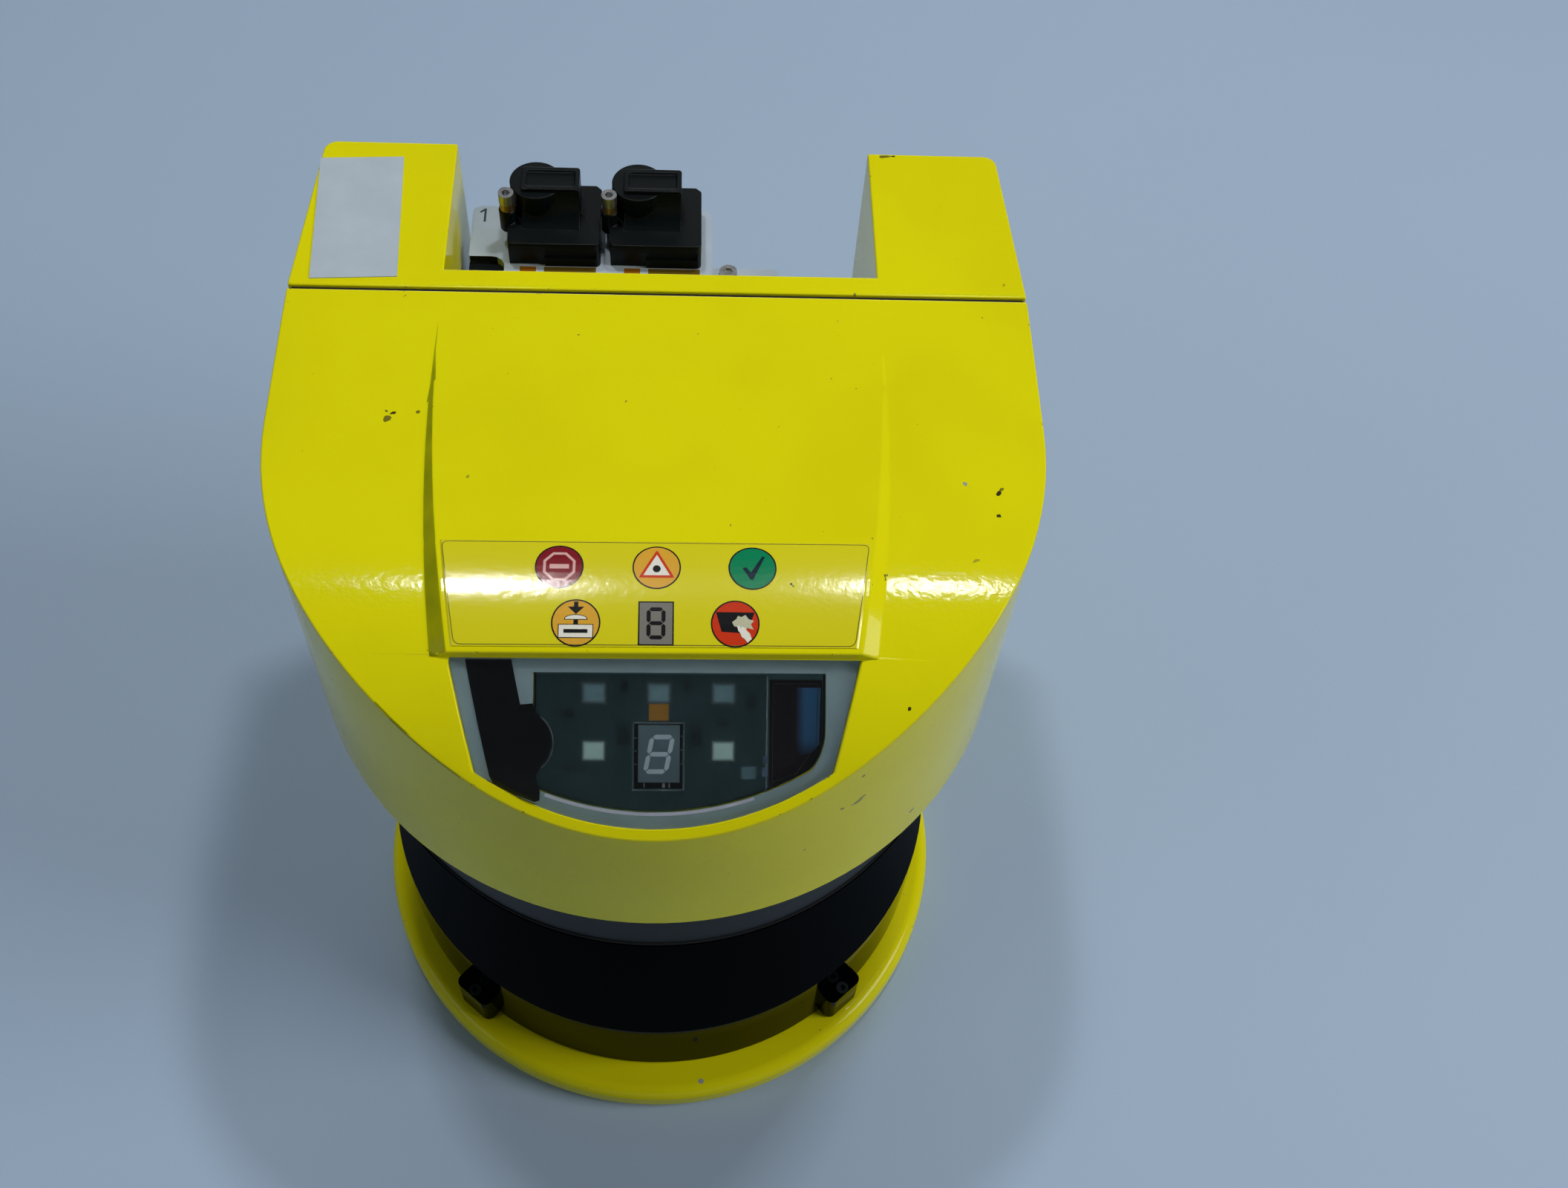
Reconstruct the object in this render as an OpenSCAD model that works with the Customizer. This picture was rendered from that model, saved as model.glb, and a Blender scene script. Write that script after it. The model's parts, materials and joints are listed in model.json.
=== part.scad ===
// Safety laser scanner: a sensor head over a ring-shaped front screen, a slot-in I/O module behind it
// and a round base. X is to the right, Y to the rear, Z up. The origin is the centre of the base's
// standing face.

/* [Overall] */
// Height from the standing face to the flat of the top
overall_height = 185; // [155:1:222]
// Width of the sensor head
head_width = 155; // [140:1:186]
// Distance from the base's axis to the flat rear face
rear_depth = 85; // [78:1:102]
// Gap left between pieces that are fitted together
fit_gap = 0.2; // [0.1:0.05:0.3]

/* [Sensor head] */
// Height of the head's lower edge above the standing face
head_wall_z = 116.5; // [112:0.5:124]
// Wall thickness of the head casting
head_wall = 4; // [3:0.5:5]
// Centre of the head's round front, behind the base's axis
head_front_y = 6.5; // [3:0.5:8]
// Rear face of the head, where the I/O module joins it
split_y = 41; // [39:0.5:45]
// Gap between the head and the I/O module
split_gap = 1.1; // [0.8:0.1:2]
// Drop from the flat top to the lip above the head's front wall
lip_drop = 27.8; // [24:0.2:32]
// Radius of the round nose between the shoulders and the front slope
nose_radius = 58; // [45:1:62]
// Fall of the front slope below the horizontal
nose_slope = 45.8; // [40:0.2:50]
// Gentle fall of the shoulders ahead of the flat strip at the rear
shoulder_fall = 1.43; // [0.8:0.01:2.5]
// Length of the flat strip at the rear of the shoulders
shoulder_flat = 8; // [4:0.5:14]

/* [Centre panel] */
// Width of the raised centre panel at its rear
panel_width = 91.2; // [80:0.2:100]
// Radius of the panel's curved sides in plan
panel_side_radius = 400; // [300:10:500]
// Distance ahead of the split where the panel's sides begin to curve in
panel_side_start = 7; // [4:1:12]
// Inward taper of the panel's sides over the nose
panel_taper = 8.1; // [6:0.1:10]
// Sideways run of the panel's flank for each millimetre of its height
panel_flank = 1.7; // [1.2:0.1:2]
// Radius of the panel over the nose
panel_nose_radius = 58; // [50:1:64]
// Distance from the head's front to the end of the panel's flat
panel_flat_end = 49; // [46:0.5:54]

/* [Display window] */
// Distance from the head's front to the window's rear edge
window_back = 27.1; // [25:0.1:28]
// Width of the window at its rear edge
window_width = 76.8; // [70:0.2:80]
// Inward taper of the window's sides
window_taper = 13.2; // [11:0.2:16]
// Thickness of the lip between the window and the front wall
lip_t = 1.8; // [1.4:0.1:2.5]
// Thickness of the window pane
pane_t = 2; // [1.5:0.1:2.2]
// How far the pane lies below the surface around it
pane_sink = 0.3; // [0.2:0.05:0.5]
// Left and right edges of the opening below the pane, from the head's middle
opening_x = [-22.7, 31.9]; // [-32:0.1:33]
// Width of the gasket between the window's rear edge and the opening
opening_back = 2.9; // [2:0.1:4]
// Width of the gasket at the middle of the window's front edge
opening_front = 5.8; // [3:0.1:6.4]
// Radius of the opening's front right corner
opening_corner = 12; // [8:0.5:14]
// Radius of the opening's front edge, seen square on
opening_arc = 57; // [50:1:70]
// Thickness of the gasket on the ledge
gasket_t = 0.6; // [0.4:0.1:1]
// Thickness of the masking foil behind the pane
mask_t = 0.2; // [0.15:0.05:0.25]
// Slope of the display board
board_slope = 35; // [32:1:38]
// Depth of the display board's face below the window's middle
display_depth = 7.6; // [7.4:0.2:9]
// Middle, width and depth of the figure display on its board
digit_module = [0.6, -8.4, 9.2, 12.2]; // [-12:0.1:14]
// Height of the figure display above its board
digit_h = 3.2; // [2.6:0.1:3.4]
// Distance between neighbouring indicator lamps
led_pitch = 12.2; // [10:0.1:13]
// Thickness of every circuit board
board_t = 1.6; // [1.2:0.1:2]

/* [Labels] */
// Thickness of the printed label and of the blank sticker
label_t = 0.2; // [0.1:0.05:0.4]
// Depth of the label on the panel, from back to front
label_depth = 21; // [18:0.5:22]
// Bare strip between the label and the panel's front edge
label_margin = 1; // [0.6:0.1:2]
// Bare strip between the label and the panel's sides
label_side_margin = 0.9; // [0.6:0.1:2]
// Blank sticker on the left horn: width and length
sticker_size = [18, 35.6]; // [10:0.5:20]
// Blank sticker: distance of its centre from the side of the head, and from the rear face
sticker_inset = [12.4, 23]; // [11:0.1:24]

/* [I/O module] */
// Height of the I/O module's lower face above the standing face
io_bottom_z = 58; // [50:1:70]
// How much narrower each side of the module is at the rear face
io_taper = 2.9; // [1:0.1:4]
// Radius of the module's rear corners
io_corner_r = 3; // [2:0.5:4]
// Wall thickness of the module
io_wall = 3.5; // [3:0.5:4.5]
// Width of the connector bay
bay_width = 91.4; // [86:0.2:94]
// Depth of the connector bay below the top
bay_depth = 45; // [42:1:50]
// Thickness of the bar between the bay and the head
bay_bar = 5.1; // [4.5:0.1:6]
// Spacing of the threaded mounting holes in the rear face: across and up
mount_spacing = [120, 90]; // [75:1:126]
// Distance of the upper mounting holes below the top
mount_drop = 15; // [11:1:18]
// Drilled radius of the M6 mounting holes
mount_hole_r = 2.5; // [2.4:0.05:2.6]
// Depth of the mounting holes
mount_hole_depth = 8; // [7:0.5:9]

/* [Front screen] */
// How far the head's wall overhangs the screen at the sides
screen_inset = 6.5; // [5.5:0.5:8]
// Centre of the screen's ring, behind the base's axis
screen_y = 4.5; // [2:0.5:6]
// Height of the scan plane above the standing face
scan_z = 63; // [60:1:65]
// Half the height of the waisted part of the screen
waist_half = 29; // [26:1:31]
// Depth of the waist, measured from the screen's rim
waist_depth = 17; // [14:0.5:19]
// Radius that rounds the bottom of the waist
waist_fillet = 7; // [4:0.5:10]
// Wall thickness of the screen
screen_t = 3; // [2.5:0.1:3.5]
// How far the ring of the screen reaches round each side
screen_reach = 103; // [98:1:105]
// Thickness of the seals above and below the screen
seal_t = 0.8; // [0.5:0.1:1.2]
// Width of a screw lug on the screen's rim
lug_w = 11; // [8:0.5:13]
// How far a lug stands out of the rim
lug_out = 3.7; // [3.6:0.1:4]
// Height of a lug
lug_h = 11; // [8:0.5:14]
// Angle of each lug away from the front
lug_angle = 41; // [30:1:50]

/* [Base] */
// Thickness of the base
base_t = 9.5; // [8:0.5:11]
// How far the base reaches beyond the screen's rim at the sides
base_ledge = 4.4; // [3:0.2:6]
// Radius of the base's rounded top edge
base_edge_r = 3.4; // [2:0.2:3.6]
// Chamfer at the foot of the base
base_foot = 1.6; // [1:0.2:2.5]
// Depth of the pockets that hold the base's screw heads
base_pocket = 5; // [4:0.5:6]

/* [Optics] */
// Distance from the rear face to the mirror's axis
mirror_axis_from_rear = 93; // [90:1:96]
// Radius swept by the mirror's hub
mirror_r = 23; // [18:0.5:24]
// Thickness of the scan mirror
mirror_t = 2; // [1.5:0.1:3]
// Radius of the receiver lens
lens_r = 24; // [20:0.5:25]
// Radius of each face of the receiver lens
lens_face_r = 70; // [60:1:90]
// Thickness of the lens barrel's wall
barrel_t = 2.5; // [2:0.1:3]
// Radius of the laser tube in the middle of the lens
laser_r = 5.5; // [4.5:0.1:6]
// Thickness of the chassis' deck and ring
chassis_t = 4; // [3:0.2:4.4]

/* [Motor] */
// Thickness of the motor plate
motor_plate_t = 3; // [2.5:0.1:4]
// Radius of the spindle
spindle_r = 2.45; // [2:0.05:3]
// Running gap between the spindle and its bearings
spindle_gap = 0.05; // [0.02:0.01:0.1]
// Outer radius and height of a spindle bearing
bearing_size = [6.45, 4]; // [4:0.05:7]
// Radius of the rotor
rotor_r = 24; // [20:0.5:25]
// Height of the rotor's skirt
rotor_h = 15; // [12:0.5:16]
// Radius of the encoder disc
encoder_r = 27; // [26:0.5:28]
// Number of slots round the encoder disc
encoder_slots = 36; // [24:1:48]

/* [Connectors] */
// Height of the connector plate above the bay's floor
plate_rise = 28; // [24:1:30]
// Thickness of the connector plate
plate_t = 2; // [1.5:0.1:2.5]
// Width, depth and height above the plate of a connector's body
connector_size = [20.4, 18.6, 7]; // [5:0.1:24]
// Distance between the two connectors
connector_pitch = 22.6; // [22.5:0.1:25]
// Distance of the right connector's middle to the left of the head's middle
connector_x = 1.7; // [0:0.1:4]
// Distance of the connectors' rear face from the rear face of the module
connector_rear = 1.7; // [1:0.1:4]
// Radius of the body's front corners
connector_corner = 1.2; // [0.6:0.1:2]
// Width, depth and height of the grip on a connector
block_size = [12.8, 7, 8]; // [5:0.1:15]
// Place of the grip's front left corner on the body
block_place = [3.1, 8.8]; // [2:0.1:9]
// How far the grip's hollow front runs forward at its foot
cove_depth = 4.2; // [2:0.1:5]
// Radius of the round boss behind each grip
boss_r = 5.8; // [4:0.1:6]
// Place of the boss on the body
boss_place = [6.2, 12.4]; // [6:0.1:13]
// Width, depth and height under the lip of the step at the front left
step_size = [8, 0.6, 1.2]; // [0.4:0.1:9]
// Place of a jackscrew: from the connector's middle to the left, and behind its front
jack_place = [10.3, 7.6]; // [6:0.1:11]
// Radius of a jackscrew's head
jackscrew_r = 1.7; // [1.5:0.1:2.2]
// Radius of a jackscrew's shank
shank_r = 0.85; // [0.7:0.05:0.9]
// Radius of the sleeve round a jackscrew
sleeve_r = 1.9; // [1.3:0.05:1.9]
// How far the sleeve reaches down beside the body
sleeve_drop = 2.5; // [1:0.1:6]
// Width, depth and height above the plate of a connector's contact block
contact_size = [15, 5, 3.2]; // [3:0.1:16]
// Height of a jackscrew's collar above the body
collar_rise = 3.2; // [2:0.1:4]
// Thickness of a jackscrew's collar
collar_h = 2.1; // [1.5:0.1:3]

/* [Hidden] */
$fn = 96;

FAR = 400;                                   // longer than the scanner in any direction
head_r = head_width / 2;
head_front = head_front_y - head_r;          // Y of the head's front face
screen_r = head_r - screen_inset;
base_r = screen_r + base_ledge;
mirror_y = rear_depth - mirror_axis_from_rear;
lip_z = overall_height - lip_drop;
flat_y = split_y - shoulder_flat;            // front end of the flat strip on the shoulders
rear_y = rear_depth;
io_front = split_y + split_gap;
bay_floor_z = overall_height - bay_depth;
bay_front = io_front + bay_bar;
ring_z = scan_z + waist_half;                // upper edge of the screen
rim_z = scan_z - waist_half;                 // upper edge of the screen's rim band
screen_end_y = screen_y + screen_r * sin(screen_reach - 90);
column_y = screen_end_y + 0.5;               // front face of the column behind the screen
column_r = screen_r - 1;
deck_top = head_wall_z + 6;
shelf_w = 13;                                // ledge in the head that the chassis is screwed to
cover_screw_r = 2;                           // M4 fasteners
WALL_COLOR = [0.86, 0.83, 0.02];

// Centre of the shoulder's nose: as far below the falling line as it is behind the front slope
nose_det = sin(nose_slope - shoulder_fall);
nose_top = -sin(shoulder_fall) * flat_y + cos(shoulder_fall) * overall_height - nose_radius;
nose_front = -sin(nose_slope) * head_front + cos(nose_slope) * lip_z - nose_radius;
nose_c = [(nose_top * cos(nose_slope) - nose_front * cos(shoulder_fall)) / nose_det,
    (nose_top * sin(nose_slope) - nose_front * sin(shoulder_fall)) / nose_det];

nose_lap = 0.03;                             // keeps the nose's arc crossing the flats it runs into

// Height of the nose's round at the distance y from the base's axis
function nose_z(y) = nose_c[1] + sqrt(pow(nose_radius, 2) - pow(y - nose_c[0], 2));

panel_flat_y = head_front + panel_flat_end;
window_rear_y = head_front + window_back;
panel_edge_x = panel_width / 2 - pow(panel_flat_y - (split_y - panel_side_start), 2)
    / (2 * panel_side_radius);               // half width where the flat ends
seat_depth = pane_sink + pane_t + mask_t + 0.1 + gasket_t;
surround_t = 2;                              // thickness of the wall under the window's ledge
display_y = head_front + 18;                 // middle of the display's own sloping frame
display_z = nose_z(display_y);
window_u = (window_rear_y - display_y) * cos(board_slope)
    + (nose_z(window_rear_y) - display_z) * sin(board_slope);
opening_u = (head_front + lip_t - display_y) * cos(board_slope)
    + (lip_z - seat_depth - display_z) * sin(board_slope) + opening_front;

plate_z = bay_floor_z + plate_rise;
connector_y = rear_y - connector_rear - connector_size[1];
connector_xs = [-connector_x - connector_pitch, -connector_x];

motor_z = base_t + motor_plate_t;
rotor_top = motor_z + 2.5 + rotor_h + 3;
lens_z = deck_top - 14;                      // underside of the lens' rim
barrel_top = deck_top + 28;

// ---- outlines seen from above ----

module head_outline(inset = 0) {
    intersection() {
        union() {
            translate([0, head_front_y]) circle(r = head_r - inset);
            translate([-head_r + inset, head_front_y]) square([head_width - 2 * inset, FAR]);
        }
        translate([-FAR / 2, -FAR]) square([FAR, FAR + split_y - inset]);
    }
}

module mirrored() {
    children();
    mirror([1, 0, 0]) children();
}

// Half of the module's outline, with a round rear corner on its tapering side
module io_outline_half(inset = 0) {
    taper = io_taper / (rear_y - io_front);
    a = atan(taper);
    r = io_corner_r;
    cy = rear_y - r;
    cx = head_r - taper * (cy - io_front) - r / cos(a);
    polygon([[0, io_front], [head_r - inset, io_front],
        [cx + (r - inset) * cos(a), cy + (r - inset) * sin(a)], [cx, cy], [cx, rear_y - inset],
        [0, rear_y - inset]]);
    if (r > inset + 0.2) translate([cx, cy]) circle(r = r - inset, $fn = 48);
}

module io_outline(inset = 0) {
    mirrored() io_outline_half(inset);
}

// ---- the window: its own frame slopes with the display, so its walls stand square to the pane ----

module display_frame() {
    translate([0, display_y, display_z]) rotate([board_slope, 0, 0]) children();
}

module display_slab(low, high) {
    display_frame() translate([-FAR / 2, -FAR / 2, low]) cube([FAR, FAR, high - low]);
}

module window_outline(inset = 0) {
    half = window_width / 2 - inset;
    back = window_u - inset;
    narrowing = 45 * tan(window_taper);
    polygon([[-half, back], [half, back], [half - narrowing, back - 45], [-half + narrowing, back - 45]]);
}

module window_column(inset) {
    intersection() {
        translate([0, head_front_y, head_wall_z + 20]) cylinder(r = head_r - lip_t - inset, h = FAR);
        display_frame() translate([0, 0, -FAR / 8]) linear_extrude(FAR / 4) window_outline(inset);
    }
}

module opening_outline(grow = 0) {
    back = window_u - opening_back + grow;
    corner = [opening_x[1] - opening_corner, opening_u + opening_corner + 3.5];
    intersection() {
        translate([0, opening_u + opening_arc]) circle(r = opening_arc + grow, $fn = 180);
        translate([-FAR, back - FAR]) square([2 * FAR, FAR]);
        union() {
            translate([opening_x[0] - grow, corner[1]])
                square([opening_x[1] - opening_x[0] + 2 * grow, back - corner[1]]);
            translate([opening_x[0] - grow, opening_u - 10])
                square([corner[0] - opening_x[0] + grow, back - opening_u + 10]);
            translate(corner) circle(r = opening_corner + grow);
        }
    }
}

module opening_column(grow = 0) {
    display_frame() translate([0, 0, -FAR / 16]) linear_extrude(FAR / 8) opening_outline(grow);
}

// ---- side profiles, extruded across the head ----

module across() {
    rotate([90, 0, 90]) translate([0, 0, -FAR / 2]) linear_extrude(FAR) children();
}

// Everything below the shoulders' surface: flat strip, gentle fall, round nose, front slope
module below_shoulders(inset = 0) {
    r = nose_radius - inset;
    t1 = nose_c + r * [-sin(shoulder_fall), cos(shoulder_fall)];
    t2 = nose_c + r * [-sin(nose_slope), cos(nose_slope)];
    top = overall_height - inset;
    foot = t2 - 60 * [cos(nose_slope), sin(nose_slope)];
    across() {
        polygon([[FAR, -FAR], [FAR, top], [t1[0] + (top - t1[1]) / tan(shoulder_fall), top], t1, nose_c, t2,
            foot, [foot[0], -FAR]]);
        translate(nose_c) circle(r = r + nose_lap, $fn = 180);
    }
}

module below_panel() {
    c = [panel_flat_y, overall_height - panel_nose_radius];
    across() {
        translate([c[0], 0]) square([FAR, overall_height]);
        intersection() {
            translate(c) circle(r = panel_nose_radius, $fn = 180);
            translate([window_rear_y, c[1]]) square([FAR, FAR]);
        }
    }
}

// One flank over the nose: a cone about an axis that is turned by the panel's taper
module nose_flank(margin) {
    reach = 2.2 * panel_edge_x;
    up = 3;
    translate([panel_edge_x - margin, panel_flat_y, overall_height - panel_nose_radius])
        rotate([0, 0, -panel_taper]) rotate([0, 90, 0]) translate([0, 0, -reach])
            cylinder(h = reach + up, r1 = panel_nose_radius + reach / panel_flank,
                r2 = panel_nose_radius - up / panel_flank, $fn = 180);
}

// The panel's flanks: a large cone beside the flat, and a cone about a cross axis over the nose
module panel_flanks(margin = 0) {
    top_r = panel_side_radius - margin;
    down = 12;
    up = 3;
    intersection() {
        intersection_for (side = [-1, 1])
            translate([side * (panel_width / 2 - panel_side_radius), split_y - panel_side_start, 0])
                translate([0, 0, overall_height - down]) cylinder(h = down + up,
                    r1 = top_r + down * panel_flank, r2 = top_r - up * panel_flank, $fn = 180);
        translate([-FAR / 2, panel_flat_y, 0]) cube([FAR, FAR, FAR]);
    }
    intersection() {
        nose_flank(margin);
        mirror([1, 0, 0]) nose_flank(margin);
        translate([-FAR / 2, window_rear_y - 1, overall_height - down])
            cube([FAR, panel_flat_y - window_rear_y + 1, down + up]);
    }
}

module raised_panel() {
    intersection() {
        below_panel();
        panel_flanks();
        translate([-FAR / 2, window_rear_y, overall_height - 11]) cube([FAR, split_y - window_rear_y, FAR]);
    }
}

// ---- base ----

module base_cover() {
    color(WALL_COLOR) difference() {
        rotate_extrude($fn = 180) {
            square([base_r - base_edge_r, base_t]);
            polygon([[0, 0], [base_r - base_foot, 0], [base_r, base_foot * 1.6],
                [base_r, base_t - base_edge_r], [0, base_t - base_edge_r]]);
            translate([base_r - base_edge_r, base_t - base_edge_r]) circle(r = base_edge_r, $fn = 48);
        }
        lug_place() translate([0, lug_screw_y, base_t - lug_screw_depth - fit_gap])
            cylinder(r = lug_screw_r, h = base_t, $fn = 32);
        for (p = base_screw_places) translate([p[0], p[1], -1]) {
            cylinder(r = cover_screw_r + fit_gap, h = FAR);
            cylinder(r = cover_screw_r * 2, h = base_pocket + 1);
        }
    }
}

base_screw_places = [for (x = [-46, -16, 16, 46]) [x, (column_y + split_y) / 2]];

module socket_screw(r, length, head_r, head_h) {
    difference() {
        union() {
            cylinder(r = r, h = length + 0.01, $fn = 32);
            translate([0, 0, length]) cylinder(r = head_r, h = head_h, $fn = 32);
        }
        translate([0, 0, length + head_h * 0.45]) cylinder(r = head_r * 0.55, h = head_h, $fn = 6);
    }
}

module base_screws() {
    color("dimgray") for (p = base_screw_places)
        translate([p[0], p[1], base_t + 8]) mirror([0, 0, 1])
            socket_screw(cover_screw_r - 0.05, 8 + base_t - base_pocket, cover_screw_r * 1.8, 3);
}

// ---- front screen ----

// The screen's outer line: rim band, lower cone, rounded waist, upper cone
module screen_solid_profile(inset) {
    r = screen_r - inset;
    waist = r - waist_depth;
    a = atan(waist_depth / waist_half);
    fr = waist_fillet + inset;
    difference() {
        translate([0, base_t + seal_t]) square([r, ring_z - base_t - seal_t]);
        polygon([[waist, scan_z], [r + 20, scan_z + waist_half * (waist_depth + 20) / waist_depth],
            [r + 20, scan_z - waist_half * (waist_depth + 20) / waist_depth]]);
    }
    waist_web(waist, a, fr);
}

// Fills the sharp bottom of the waist out to a round of radius fr
module waist_web(waist, a, fr) {
    c = waist + fr / sin(90 - a);
    t = fr * sin(a);
    difference() {
        polygon([[waist - 0.5, scan_z], [c - fr * cos(a), scan_z + t], [c - fr * cos(a), scan_z - t]]);
        translate([c, scan_z]) circle(r = fr, $fn = 96);
    }
}

module ring_sweep(reach) {
    translate([0, screen_y, 0]) rotate([0, 0, -90 - reach])
        rotate_extrude(angle = 2 * reach, $fn = 180) children();
}

module lug_place() {
    for (side = [-1, 1]) translate([0, screen_y, 0]) rotate([0, 0, side * lug_angle])
        translate([0, -screen_r, 0]) children();
}

module lug_plan(w, out) {
    translate([-w / 2, -out + 2]) square([w, out + 1.5 - 2]);
    translate([-w / 2 + 2, -out]) square([w - 4, out + 1.5]);
    for (x = [-1, 1]) translate([x * (w / 2 - 2), -out + 2]) circle(r = 2, $fn = 32);
}

module front_screen() {
    z0 = base_t + seal_t;
    color([0.02, 0.02, 0.025]) difference() {
        union() {
            ring_sweep(screen_reach) difference() {
                screen_solid_profile(0);
                translate([0, -1]) screen_solid_profile(screen_t);
                translate([0, 1]) screen_solid_profile(screen_t);
                translate([0, base_t]) square([screen_r - screen_t - waist_depth - 6, FAR]);
            }
            lug_place() translate([0, 0, z0]) linear_extrude(lug_h) difference() {
                lug_plan(lug_w, lug_out);
                translate([0, screen_r]) circle(r = screen_r - screen_t / 2, $fn = 180);
            }
        }
        lug_place() translate([0, lug_screw_y, 0]) {
            cylinder(r = lug_screw_r + fit_gap, h = z0 + lug_h, $fn = 32);
            translate([0, 0, z0 + lug_h - lug_screw_head])
                cylinder(r = lug_screw_r * 1.6 + fit_gap, h = lug_screw_head + 1, $fn = 32);
        }
    }
}

lug_screw_r = 1;
lug_screw_head = 1.4;
lug_screw_depth = 5;                         // how far it reaches into the base
lug_screw_y = -lug_screw_r * 1.6 - fit_gap - 0.1;

module screen_screws() {
    length = lug_screw_depth + seal_t + lug_h - lug_screw_head;
    color("black") lug_place() translate([0, lug_screw_y, base_t - lug_screw_depth])
        socket_screw(lug_screw_r - 0.05, length, lug_screw_r * 1.6, lug_screw_head);
}

module seal_ring(z) {
    ring_sweep(screen_reach) translate([screen_r - screen_t + 0.3, z]) square([screen_t - 0.6, seal_t]);
}

module screen_lower_seal() {
    color([0.1, 0.1, 0.1]) seal_ring(base_t);
}

module screen_upper_seal() {
    color([0.1, 0.1, 0.1]) seal_ring(ring_z);
}

// ---- optics chassis: the grey ring above the screen and the deck that closes the head ----

module chassis_outline(inset = 0) {
    intersection() {
        translate([0, screen_y]) circle(r = screen_r - 0.6 - inset, $fn = 180);
        translate([-FAR / 2, -FAR]) square([FAR, FAR + column_y - fit_gap - inset * 0.6]);
    }
}

module optics_chassis() {
    color([0.16, 0.17, 0.18]) difference() {
        translate([0, 0, ring_z + seal_t]) linear_extrude(deck_top - ring_z - seal_t) chassis_outline();
        translate([0, 0, ring_z - 1]) linear_extrude(deck_top - chassis_t - ring_z + 1)
            chassis_outline(screen_t);
        translate([0, mirror_y, deck_top - chassis_t - 0.1])
            cylinder(r = lens_r + barrel_t + fit_gap, h = FAR);
        for (a = chassis_screw_angles) translate([0, screen_y, 0]) rotate([0, 0, a])
            translate([0, -chassis_screw_r, 0]) cylinder(r = cover_screw_r + fit_gap, h = FAR);
        for (a = [0:90:359]) translate([0, mirror_y, 0]) rotate([0, 0, a + 45])
            translate([barrel_flange_r - 4, 0, 0]) cylinder(r = 1.5 + fit_gap, h = FAR);
    }
}

chassis_screw_angles = [-84, -28, 28, 84];
chassis_screw_r = screen_r - 8;

module chassis_screws() {
    color("dimgray") for (a = chassis_screw_angles) translate([0, screen_y, 0]) rotate([0, 0, a])
        translate([0, -chassis_screw_r, deck_top + 4]) mirror([0, 0, 1])
            socket_screw(cover_screw_r - 0.05, 4 + chassis_t, cover_screw_r * 1.8, 3.5);
}

// ---- sensor head ----

module column_outline(inset = 0) {
    intersection() {
        translate([0, screen_y]) circle(r = column_r - inset, $fn = 180);
        translate([-FAR / 2, column_y + inset]) square([FAR, split_y - column_y - 2 * inset]);
    }
}

module head_shell() {
    difference() {
        intersection() {
            translate([0, 0, head_wall_z]) linear_extrude(FAR) head_outline();
            union() {
                below_shoulders();
                raised_panel();
            }
        }
        intersection() {
            union() {
                translate([0, 0, head_wall_z - 1]) linear_extrude(FAR) intersection() {
                    head_outline(head_wall);
                    translate([-FAR / 2, -FAR]) square([FAR, FAR + column_y]);
                }
                translate([0, 0, head_wall_z + head_wall]) linear_extrude(FAR) head_outline(head_wall);
            }
            below_shoulders(head_wall);
        }
    }
}

module window_surround() {
    intersection() {
        translate([0, 0, head_wall_z]) linear_extrude(FAR) head_outline();
        window_column(-2.5);
        difference() {
            below_shoulders(0.5);
            below_shoulders(seat_depth + surround_t);
        }
    }
}

module sensor_head_housing() {
    color(WALL_COLOR) difference() {
        union() {
            head_shell();
            window_surround();
            translate([0, 0, base_t]) linear_extrude(head_wall_z - base_t + 0.5) column_outline();
            translate([0, 0, deck_top]) linear_extrude(chassis_t) intersection() {
                difference() {
                    head_outline(head_wall - 0.5);
                    translate([0, head_front_y]) circle(r = head_r - head_wall - shelf_w, $fn = 180);
                }
                translate([-FAR / 2, -FAR]) square([FAR, FAR + column_y]);
            }
        }
        translate([0, 0, base_t + 12]) linear_extrude(head_wall_z - base_t - 12) column_outline(head_wall);
        difference() {
            window_column(0);
            below_shoulders(seat_depth);
        }
        opening_column();
        translate([-link_size[0] / 2 - 2, split_y - 20, link_z - 2])
            cube([link_size[0] + 4, 40, link_size[1] + 4]);
        for (a = chassis_screw_angles) translate([0, screen_y, deck_top - 1]) rotate([0, 0, a])
            translate([0, -chassis_screw_r, 0]) cylinder(r = cover_screw_r, h = FAR / 20);
        for (p = base_screw_places) translate([p[0], p[1], base_t - 1]) cylinder(r = cover_screw_r, h = 10);
        for (p = module_screw_places) translate([p[0], split_y + 1, p[1]]) rotate([90, 0, 0])
            cylinder(r = cover_screw_r, h = 1 + head_wall);
    }
}

link_size = [46, 9];
link_z = head_wall_z + 9;

// ---- I/O module ----

module_screw_places = [for (z = [head_wall_z + 12, overall_height - 8]) for (x = [-1, 1])
    [x * (head_r - 24), z]];
module_screw_sink = 5;                       // the screws' heads lie this deep in the rear face
mount_places = [for (z = [0, 1]) for (x = [-1, 1])
    [x * mount_spacing[0] / 2, overall_height - mount_drop - z * mount_spacing[1]]];

// The split's face of the head, drawn in by a margin
module split_face(margin) {
    translate([-head_r + margin, head_wall_z + margin])
        square([head_width - 2 * margin, overall_height - head_wall_z - 2 * margin]);
}

module split_gasket() {
    color([0.05, 0.05, 0.05]) translate([0, io_front, 0]) rotate([90, 0, 0]) linear_extrude(split_gap)
        difference() {
            split_face(0.8);
            split_face(5.5);
        }
}

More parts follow.
